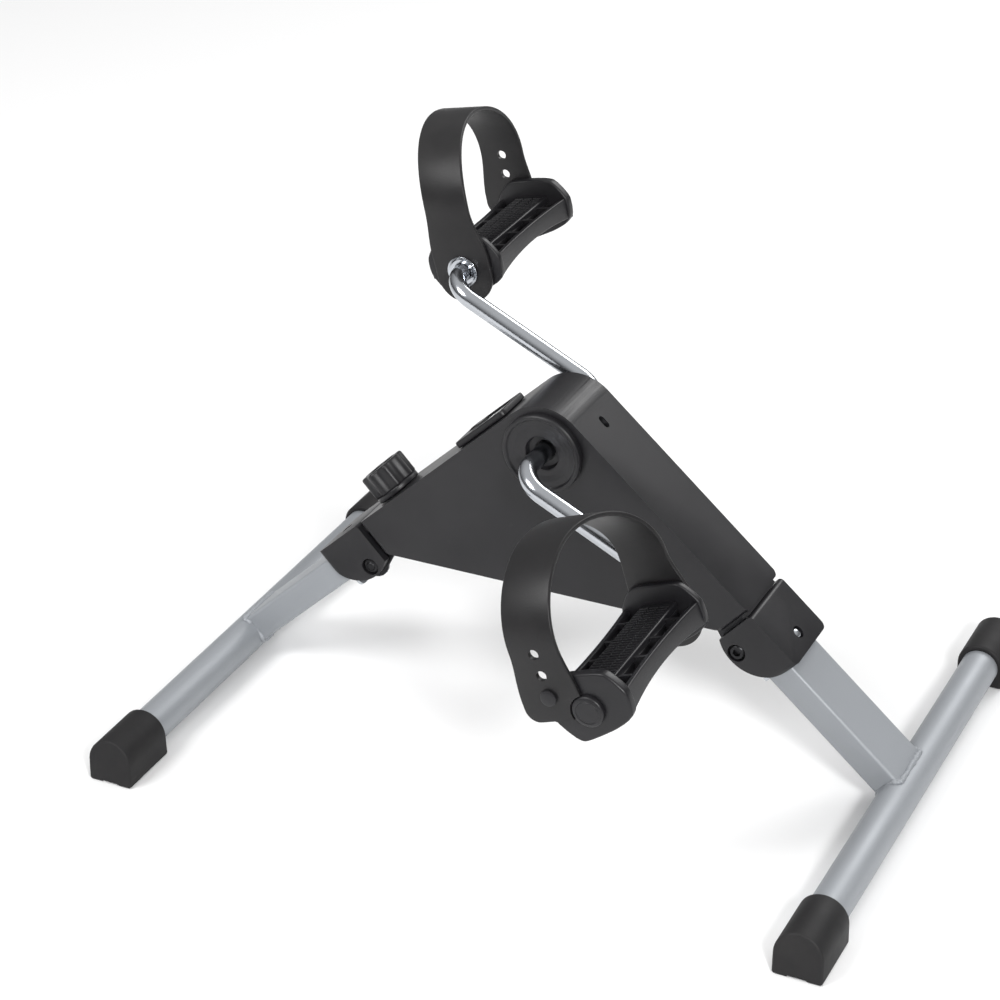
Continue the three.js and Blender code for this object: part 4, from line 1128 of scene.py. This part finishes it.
def pedal_mesh(side, sizes):
    """The pedal's body: two cheeks, the axle sleeve, deck, rails, cross ribs and the strap peg."""
    inner, outer = side * pedal_across()[0], side * pedal_across()[1]
    half, low, high = sizes.pedal_half, min(inner, outer) + 1, max(inner, outer) - 1
    cheek = cheek_outline(half)
    inner_thick, outer_thick, sleeve_radius = 5, 7, 11
    inner_cheek = prism(cheek, *sorted((inner, inner + side * inner_thick)))
    inner_cheek = soften(inner_cheek, 1.2, 3, 40)
    outer_cheek = prism(cheek, *sorted((outer, outer - side * outer_thick)))
    outer_cheek = soften(outer_cheek, 1.6, 4, 40)
    deck = prism(rectangle((-12, 12), (6, DECK_TOP), 1.2, 4), low, high)
    rails = [pedal_rail(end, half, low, high) for end in (-1, 1)]
    rib_inset, rib_half, rib_up = 5.5, 1.2, (-2.2, 8.5)
    ribs = []
    for i in range(1, sizes.pedal_ribs + 1):
        y = inner + (outer - inner) * i / (sizes.pedal_ribs + 1)
        ribs.append(block((rib_inset - half, half - rib_inset), (y - rib_half, y + rib_half), rib_up))
    peg = shift(turned(mirrored(peg_profile(), side), 48), -(half - PEG_INSET), outer, PEG_UP)
    sleeve = prism(circle(sleeve_radius), *sorted((inner, outer)))
    axle_bore, cap_bore, cap_depth = 6.3, 8.6, 17
    cut = [
        prism(circle(axle_bore), *sorted((inner - side * REACH, outer + side * REACH))),
        prism(circle(cap_bore), *sorted((outer - side * cap_depth, outer + side * REACH))),
    ]
    return combine(inner_cheek, add=[outer_cheek, sleeve, deck, *rails, *ribs, peg], cut=cut)


def pedal_rail(end, half, low, high):
    """A rail from cheek to cheek, bowed in and shallower at its middle."""
    steps, thick, top = 40, 3.6, 9
    sections = []
    for i in range(steps + 1):
        y = low + (high - low) * i / steps
        flare = (2 * i / steps - 1) ** 2
        face = half - 3.8 + 3.2 * flare
        ring = rectangle((face - thick, face), (-2.5 - 4.3 * flare, top), 1.0, 4)
        sections.append([(end * x, y, z) for x, z in ring])
    return loft(sections)


def peg_profile():
    """The strap peg from inside the cheek to its mushroom head."""
    return [(0, -2), (3, -2), (3, 3.9), (4.7, 3.9), (5.2, 4.4), (5.0, 5.3), (4.0, 5.9), (0, 6)]


def mirrored(profile, side):
    """A profile to be turned, for the right or the left side."""
    return [(r, side * y) for r, y in profile]


def pedal_across():
    """The pedal's inner and outer face along its axle, before its peg."""
    inner = extent("left_pedal_body", pedal_place("left"))[0].y
    outer = extent("left_pedal_cap", pedal_place("left"))[0].y + CAP_PLUG
    return inner, outer


def tread_mesh(side, ribs, sizes):
    """Three rows of low grip ribs on the deck."""
    inner, outer = pedal_across()
    spacing = sizes.tread_spacing
    bare = 18  # the deck's two ends without treads, together
    count = int((outer - inner - bare) / spacing)
    middle = side * (inner + outer) / 2
    given = {"Spacing": spacing, "Length": 6.2, "Radius": 0.75, "Count": count}
    parts = []
    for x in (-7.2, 0.0, 7.2):
        row = run_tree(ribs, MATERIALS["pedal"], **given)
        parts.append(shift(row, x, middle - spacing * (count - 1) / 2, DECK_TOP))
    return join_meshes(parts)


def join_meshes(meshes):
    build = bmesh.new()
    for mesh in meshes:
        build.from_mesh(mesh)
    joined = bpy.data.meshes.new("joined")
    build.to_mesh(joined)
    build.free()
    return joined


def pedal_cap_mesh(side):
    """The end cap: a plug and a low round head with a groove near its rim."""
    low, high = extent("left_pedal_cap", pedal_place("left"))
    plug, face, radius = 8.3, low.y + CAP_PLUG + GAP, high.z
    profile = [(0, low.y), (plug, low.y), (plug, face), (radius, face)]
    rim = [(0, 1.9), (0.35, 2.6), (1.1, 3.1), (2.4, 3.35)]
    groove = [(2.8, 3.1), (3.2, 3.1), (3.6, 3.4)]
    profile += [(radius - inward, face + rise) for inward, rise in rim + groove]
    return turned(mirrored([*profile, (0, high.y)], side), 96)


# ---- straps ----
def smoothstep(value, low, high):
    """From 0 to 1 between two values, level at both ends."""
    t = min(max((value - low) / (high - low), 0), 1)
    return t * t * (3 - 2 * t)


def strap_middle(share, height, sizes):
    """Where the band's middle lies along the shoe: over the axle inside, over the peg outside."""
    low = smoothstep(height, 0, sizes.strap_shoulder) * 0.15
    over = low if share <= 0 else 0.15 + 0.85 * smoothstep(share, 0, 0.6)
    return -(sizes.pedal_half - PEG_INSET) * (1 if share >= 1 else over)


def strap_width(is_inner, height, end, sizes):
    """The band's width: wide and rounded at its ends, narrower over the foot."""
    wide, corner = (42, 20) if is_inner else (40, 9)
    over_foot = 33
    width = wide + (over_foot - wide) * smoothstep(height, 10, sizes.strap_shoulder)
    up = min(max(height - end, 0), corner)
    return width - 1.8 * (corner - math.sqrt(corner**2 - (corner - up) ** 2))


def strap_route(sizes):
    """Points up the inner side, over the foot and down the outer side, with their outward normals."""
    thick = sizes.strap_thick
    inner, outer = pedal_across()
    inner, outer = inner - GAP - thick / 2, outer + GAP + thick / 2
    low_inner, low_outer = -22.0, -4.0
    shoulder = sizes.strap_shoulder
    middle, span = (inner + outer) / 2, (outer - inner) / 2
    rise = sizes.strap_height - thick / 2 - shoulder
    route = []
    straight, curve = 40, 72
    for i in range(straight):
        height = low_inner + (shoulder - low_inner) * (i / straight) ** 1.6
        route.append((inner, height, -1.0, 0.0, 0.0, True, low_inner))
    for i in range(curve + 1):
        angle = math.pi * (1 - i / curve)
        normal = Vector((math.cos(angle) / span, math.sin(angle) / rise)).normalized()
        share = 1 - angle / math.pi
        y, z = middle + span * math.cos(angle), shoulder + rise * math.sin(angle)
        low = low_inner if y < middle else low_outer
        route.append((y, z, normal.x, normal.y, share, y < middle, low))
    for i in range(straight - 1, -1, -1):
        height = low_outer + (shoulder - low_outer) * (i / straight) ** 1.6
        route.append((outer, height, 1.0, 0.0, 1.0, False, low_outer))
    return route


def strap_mesh(side, sizes):
    """The moulded band, with its axle hole, cap hole and row of peg holes."""
    thick = sizes.strap_thick
    sections = []
    for y, z, ny, nz, share, is_inner, low in strap_route(sizes):
        width = strap_width(is_inner, z, low, sizes)
        middle = strap_middle(share, z, sizes)
        ring = rectangle((-width / 2, width / 2), (-thick / 2, thick / 2), thick * 0.32, 4)
        sections.append([(middle + u, side * (y + v * ny), z + v * nz) for u, v in ring])
    band = loft(sections)
    inner, outer = pedal_across()
    axle_hole, cap_hole, peg_hole, hole_pitch = 6.6, 10.8, 3.3, 14
    through_inner = sorted((side * (inner - 8), side * (inner + 5)))
    through_outer = sorted((side * (outer - 5), side * (outer + 8)))
    cut = [prism(circle(axle_hole), *through_inner), prism(circle(cap_hole), *through_outer)]
    peg_x = -(sizes.pedal_half - PEG_INSET)
    for i in range(sizes.strap_holes):
        hole = circle(peg_hole, peg_x, PEG_UP + hole_pitch * i, 40)
        cut.append(prism(hole, *through_outer))
    return combine(band, cut=cut)


# ---- sizes and colours ----
class ExerciserSizes(bpy.types.PropertyGroup):
    """Sizes of the visible surfaces. Lengths are kept in metres, as Blender keeps them."""

    casing_wall: FloatProperty(
        name="Casing wall",
        description="Thickness of the casing",
        default=2.5 * MM,
        min=1.5 * MM,
        unit="LENGTH",
    )
    casing_round: FloatProperty(
        name="Casing edge",
        description="Radius of the casing's edges",
        default=2.8 * MM,
        min=0.5 * MM,
        unit="LENGTH",
    )
    crank_hole: FloatProperty(
        name="Crank hole",
        description="Radius of the casing's crank hole",
        default=13.0 * MM,
        min=0.1 * MM,
        unit="LENGTH",
    )
    bracket_round: FloatProperty(
        name="Bracket edge",
        description="Radius of the bracket's edges",
        default=2.2 * MM,
        min=0.1 * MM,
        unit="LENGTH",
    )
    tube_wall: FloatProperty(
        name="Tube wall",
        description="Thickness of the leg tube",
        default=1.8 * MM,
        min=1.0 * MM,
        unit="LENGTH",
    )
    tube_corner: FloatProperty(
        name="Tube corner",
        description="Corner radius of the leg tube",
        default=2.4 * MM,
        min=0.1 * MM,
        unit="LENGTH",
    )
    weld_radius: FloatProperty(
        name="Weld",
        description="Radius of the weld's ripples",
        default=2.3 * MM,
        min=0.1 * MM,
        unit="LENGTH",
    )
    weld_pitch: FloatProperty(
        name="Weld pitch",
        description="Distance between the weld's ripples",
        default=1.9 * MM,
        min=0.1 * MM,
        unit="LENGTH",
    )
    cap_round: FloatProperty(
        name="Cap edge",
        description="Radius of the foot cap's edges",
        default=1.8 * MM,
        min=0.1 * MM,
        unit="LENGTH",
    )
    cap_lean: FloatProperty(
        name="Cap lean",
        description="How far the cap's end leans in at the top",
        default=4.0 * MM,
        min=0.1 * MM,
        unit="LENGTH",
    )
    rod_radius: FloatProperty(
        name="Crank rod",
        description="Radius of the crank rods",
        default=6.0 * MM,
        min=0.1 * MM,
        unit="LENGTH",
    )
    crank_bend: FloatProperty(
        name="Crank bend",
        description="Radius of the crank's bends",
        default=19.0 * MM,
        min=0.1 * MM,
        unit="LENGTH",
    )
    knob_lobes: IntProperty(
        name="Knob lobes",
        description="Number of lobes round the knob",
        default=8,
        min=1,
    )
    pedal_half: FloatProperty(
        name="Pedal half length",
        description="Axle to a pedal's front",
        default=27.0 * MM,
        min=0.1 * MM,
        unit="LENGTH",
    )
    pedal_ribs: IntProperty(
        name="Pedal ribs",
        description="Cross ribs under the deck",
        default=4,
        min=1,
    )
    tread_spacing: FloatProperty(
        name="Tread spacing",
        description="Distance between grip ribs",
        default=3.2 * MM,
        min=0.1 * MM,
        unit="LENGTH",
    )
    strap_thick: FloatProperty(
        name="Strap thickness",
        description="Thickness of the band",
        default=3.0 * MM,
        min=0.1 * MM,
        unit="LENGTH",
    )
    strap_height: FloatProperty(
        name="Strap height",
        description="Top of the strap above the axle",
        default=91.0 * MM,
        min=0.1 * MM,
        unit="LENGTH",
    )
    strap_shoulder: FloatProperty(
        name="Strap shoulder",
        description="Height where the sides curve",
        default=42.0 * MM,
        min=0.1 * MM,
        unit="LENGTH",
    )
    strap_holes: IntProperty(
        name="Strap holes",
        description="Number of peg holes",
        default=3,
        min=1,
    )


class ExerciserColours(bpy.types.PropertyGroup):
    """Base colours of the main finishes."""

    plastic: FloatVectorProperty(
        name="Plastic",
        description="Casing and pedals",
        subtype="COLOR",
        default=(0.0068, 0.0065, 0.0078),
    )
    rubber: FloatVectorProperty(
        name="Rubber",
        description="Straps and foot caps",
        subtype="COLOR",
        default=(0.0062, 0.0058, 0.0064),
    )
    paint: FloatVectorProperty(
        name="Paint",
        description="Leg tubes and foot bars",
        subtype="COLOR",
        default=(0.29, 0.305, 0.325),
    )
    zinc: FloatVectorProperty(
        name="Zinc",
        description="Crank rods and washers",
        subtype="COLOR",
        default=(0.5, 0.52, 0.55),
    )


def millimetres(context):
    """The sizes as the shapes take them: lengths in millimetres, counts as they are."""
    group = context.scene.exerciser_sizes
    values = {name: getattr(group, name) for name in ExerciserSizes.__annotations__}
    for name, value in values.items():
        if isinstance(value, float):
            values[name] = round(value / MM, 4)
    return SimpleNamespace(**values)


# ---- operators ----
class EXERCISER_OT_materials(bpy.types.Operator):
    """Make the finishes and give the carried-over CAD nodes theirs"""

    bl_idname = "exerciser.materials"
    bl_label = "Finishes"

    def execute(self, context):
        make_materials(context.scene.exerciser_colours)
        slots = {s["node"]: s["material_slot"] for s in frame["record"]["subparts"]}
        for name, node in frame["nodes"].items():
            node.data.materials.clear()
            # The chassis and the crank bushes take a black finish here as painted shade in the bracket gap and the
            # crank's well.
            node.data.materials.append(MATERIALS[PAINTED_SHADE_LOOKS.get(name, slots[name])])
        return {"FINISHED"}


class EXERCISER_OT_casing(bpy.types.Operator):
    """Build the casing, its crank covers, display and knob"""

    bl_idname = "exerciser.casing"
    bl_label = "Casing"

    def execute(self, context):
        sizes = millimetres(context)
        shell, rear = MATERIALS["shell"], slope_place(-1)
        finish_piece("casing", casing_mesh(sizes), MAIN, shell, "frame", "shell", ["main_cover"])
        hub = Matrix.Translation(CRANK)
        for name, side in BODY_SIDES:
            node = f"{name}_crank_cover"
            dish = crank_cover_mesh(side)
            finish_piece(f"{name}_crank_dish", dish, hub, shell, "frame", "shell", [node])
        housing, node = display_case_mesh(), "display_case"
        finish_piece("display_housing", housing, rear, shell, "frame", "shell", [node])
        window, node = display_lens_mesh(), "display_lens"
        finish_piece("display_window", window, rear, MATERIALS["lens"], "frame", "lens", [node])
        button, node = display_button_mesh(), "display_button"
        finish_piece("mode_button", button, rear, MATERIALS["rubber"], node, "rubber", [node])
        knob, node = knob_mesh(sizes), "tension_knob"
        finish_piece("hand_knob", knob, rear, shell, node, "shell", [node])
        return {"FINISHED"}


class EXERCISER_OT_legs(bpy.types.Operator):
    """Build the two legs with their tubes, welds, bars, caps, brackets, bolts and latches"""

    bl_idname = "exerciser.legs"
    bl_label = "Legs"

    def execute(self, context):
        sizes = millimetres(context)
        bead, cross = bead_tree(), cross_tree()
        for name, side in LEG_SIDES:
            body = f"{name}_leg"
            place = slope_place(side)
            flat = Matrix.Rotation(0 if side > 0 else math.pi, 4, "Z")
            ripples = {"Pitch": sizes.weld_pitch, "Radius": sizes.weld_radius}
            weld = run_tree(bead, MATERIALS["paint"], weld_path(), **ripples)
            top_screw = screw_mesh("front_bracket_screw", slope_place(1), cross)
            for label, mesh, where, look, slot, node in (
                ("tube", leg_tube_mesh(sizes), place, "paint", "paint", "leg_tube"),
                ("weld", weld, place, "paint", "paint", None),
                ("bar", foot_bar_mesh(), flat, "paint", "paint", "foot_bar"),
                ("bracket", bracket_mesh(sizes), place, "shell", "shell", "hinge_bracket"),
                ("bolt", pivot_bolt_mesh(), place, "black_steel_and_gap_shade", "steel", "pivot_bolt"),
                ("nut", pivot_nut_mesh(), place, "black_steel_and_gap_shade", "steel", "pivot_nut"),
                ("top_screw", top_screw, place, "chrome", "chrome", "bracket_screw"),
            ):
                nodes = [f"{name}_{node}"] if node else []
                finish_piece(f"{name}_{label}", mesh, where, MATERIALS[look], body, slot, nodes)
            for end, across in BODY_SIDES:
                node = f"{name}_{end}_foot_cap"
                cap = foot_cap_mesh(side * across, sizes)
                finish_piece(f"{name}_{end}_cap", cap, flat, MATERIALS["rubber"], body, "rubber", [node])
            latch, zinc = f"{name}_latch", MATERIALS["chrome"]
            finish_piece(f"{name}_latch_tab", latch_mesh(), place, zinc, latch, "chrome", [latch])
        return {"FINISHED"}


class EXERCISER_OT_cranks(bpy.types.Operator):
    """Build the two bent crank rods and their washers"""

    bl_idname = "exerciser.cranks"
    bl_label = "Cranks"

    def execute(self, context):
        sizes = millimetres(context)
        zinc = MATERIALS["chrome"]
        for name, side in BODY_SIDES:
            rod, node = crank_rod_mesh(side, sizes), f"{name}_crank_rod"
            finish_piece(f"{name}_crank", rod, CRANK_PLACE, zinc, "crank", "chrome", [node])
            washer, node = washer_mesh(side), f"{name}_axle_washer"
            finish_piece(f"{name}_washer", washer, CRANK_PLACE, zinc, "crank", "chrome", [node])
        return {"FINISHED"}


class EXERCISER_OT_pedals(bpy.types.Operator):
    """Build the two pedals with their treads, caps and straps"""

    bl_idname = "exerciser.pedals"
    bl_label = "Pedals"

    def execute(self, context):
        sizes = millimetres(context)
        ribs = rib_tree()
        for name, side in BODY_SIDES:
            place, body = pedal_place(name), f"{name}_pedal"
            plastic, rubber = MATERIALS["pedal"], MATERIALS["strap"]
            pedal, node = pedal_mesh(side, sizes), f"{name}_pedal_body"
            finish_piece(f"{name}_pedal", pedal, place, plastic, body, "shell", [node])
            treads = tread_mesh(side, ribs, sizes)
            finish_piece(f"{name}_treads", treads, place, plastic, body, "shell")
            cap, node = pedal_cap_mesh(side), f"{name}_pedal_cap"
            finish_piece(f"{name}_end_cap", cap, place, plastic, body, "shell", [node])
            band, node = strap_mesh(side, sizes), f"{name}_strap"
            finish_piece(f"{name}_foot_strap", band, place, rubber, body, "rubber", [node])
        return {"FINISHED"}


# ---- stage ----
CAMERA_AT = (0.6647, -1.3614, 1.0203)
CAMERA_TURN = 27.56  # degrees round Z
CAMERA_DIP = 29.33  # degrees below the horizon
CAMERA_ROLL = -1.95
CAMERA_LENS = 96.92  # millimetres, on a sensor 36 mm wide
FLOOR_HALF = 6.0  # metres
FLOOR_COLOUR = (0.86, 0.86, 0.86, 1)
# Each light's name, place, aim, disk size in metres and watts.
LIGHTS = (
    ("key", (-1.3, -1.6, 2.2), (0, 0, 0.1), 1.4, 48),
    ("fill", (1.5, -1.65, 1.5), (0, 0, 0.15), 0.45, 44),
    ("back", (0.6, 2.2, 1.9), (0, 0, 0.1), 1.4, 34),
)


def area_light(name, at, target, size, power):
    """A soft round light that faces its target."""
    lamp = bpy.data.lights.new(name, "AREA")
    lamp.shape = "DISK"
    lamp.size = size
    lamp.energy = power
    light = bpy.data.objects.new(name, lamp)
    light.location = at
    light.rotation_euler = (Vector(target) - Vector(at)).to_track_quat("-Z", "Y").to_euler()
    bpy.context.scene.collection.objects.link(light)


def make_world():
    """A soft studio sky: bright above, darker at the sides in reflections, pale behind the object."""
    world = bpy.data.worlds.new("studio")
    world.use_nodes = True
    tree = world.node_tree
    where = tree.nodes.new("ShaderNodeTexCoord")
    split = tree.nodes.new("ShaderNodeSeparateXYZ")
    ramp = tree.nodes.new("ShaderNodeValToRGB")
    ramp.color_ramp.elements[0].position = 0.0
    ramp.color_ramp.elements[0].color = (0.07, 0.07, 0.075, 1)
    ramp.color_ramp.elements[1].position = 0.9
    ramp.color_ramp.elements[1].color = (1, 1, 1, 1)
    tree.links.new(where.outputs["Generated"], split.inputs["Vector"])
    tree.links.new(split.outputs["Z"], ramp.inputs["Fac"])
    tree.links.new(ramp.outputs["Color"], tree.nodes["Background"].inputs["Color"])
    tree.nodes["Background"].inputs["Strength"].default_value = 0.75
    # The camera sees a plain pale backdrop instead of the sky.
    ray = tree.nodes.new("ShaderNodeLightPath")
    seen = tree.nodes.new("ShaderNodeBackground")
    seen.inputs["Color"].default_value = (0.9, 0.9, 0.9, 1)
    choose = tree.nodes.new("ShaderNodeMixShader")
    tree.links.new(ray.outputs["Is Camera Ray"], choose.inputs["Fac"])
    tree.links.new(tree.nodes["Background"].outputs["Background"], choose.inputs[1])
    tree.links.new(seen.outputs["Background"], choose.inputs[2])
    tree.links.new(choose.outputs["Shader"], tree.nodes["World Output"].inputs["Surface"])
    bpy.context.scene.world = world


class EXERCISER_OT_stage(bpy.types.Operator):
    """Lay the pale floor, set the lights and stand the camera"""

    bl_idname = "exerciser.stage"
    bl_label = "Stage"

    def execute(self, context):
        side = FLOOR_HALF
        corners = [(-side, -side, 0), (side, -side, 0), (side, side, 0), (-side, side, 0)]
        floor_mesh = bpy.data.meshes.new("floor")
        floor_mesh.from_pydata(corners, [], [(0, 1, 2, 3)])
        floor = bpy.data.objects.new("floor", floor_mesh)
        paper = Finish("pale_floor", 0.7)
        paper.shader.inputs["Base Color"].default_value = FLOOR_COLOUR
        floor_mesh.materials.append(paper.material)
        context.scene.collection.objects.link(floor)
        make_world()
        for light in LIGHTS:
            area_light(*light)
        context.scene.view_settings.view_transform = "Standard"
        lens = bpy.data.cameras.new("camera")
        lens.lens = CAMERA_LENS
        lens.sensor_width = 36
        camera = bpy.data.objects.new("camera", lens)
        turn = Matrix.Rotation(math.radians(CAMERA_TURN), 4, "Z")
        dip = Matrix.Rotation(math.radians(90 - CAMERA_DIP), 4, "X")
        roll = Matrix.Rotation(math.radians(CAMERA_ROLL), 4, "Z")
        camera.matrix_world = Matrix.Translation(CAMERA_AT) @ turn @ dip @ roll
        context.scene.collection.objects.link(camera)
        context.scene.camera = camera
        return {"FINISHED"}


class EXERCISER_PT_panel(bpy.types.Panel):
    """The exerciser's sizes, colours and pieces"""

    bl_idname = "EXERCISER_PT_panel"
    bl_label = "Pedal Exerciser"
    bl_space_type = "VIEW_3D"
    bl_region_type = "UI"
    bl_category = "Exerciser"

    def draw(self, context):
        for group in (context.scene.exerciser_sizes, context.scene.exerciser_colours):
            column = self.layout.column(align=True)
            for name in group.__annotations__:
                column.prop(group, name)
        for operator in OPERATORS:
            self.layout.operator(operator.bl_idname)


OPERATORS = (
    EXERCISER_OT_materials,
    EXERCISER_OT_casing,
    EXERCISER_OT_legs,
    EXERCISER_OT_cranks,
    EXERCISER_OT_pedals,
    EXERCISER_OT_stage,
)
CLASSES = (ExerciserSizes, ExerciserColours, *OPERATORS, EXERCISER_PT_panel)


def register():
    for cls in CLASSES:
        bpy.utils.register_class(cls)
    bpy.types.Scene.exerciser_sizes = PointerProperty(type=ExerciserSizes)
    bpy.types.Scene.exerciser_colours = PointerProperty(type=ExerciserColours)


def unregister():
    del bpy.types.Scene.exerciser_colours
    del bpy.types.Scene.exerciser_sizes
    for cls in reversed(CLASSES):
        bpy.utils.unregister_class(cls)


def main():
    register()
    bpy.ops.exerciser.materials()
    bpy.ops.exerciser.casing()
    bpy.ops.exerciser.legs()
    bpy.ops.exerciser.cranks()
    bpy.ops.exerciser.pedals()
    bpy.ops.exerciser.stage()


if __name__ == "__main__":
    main()
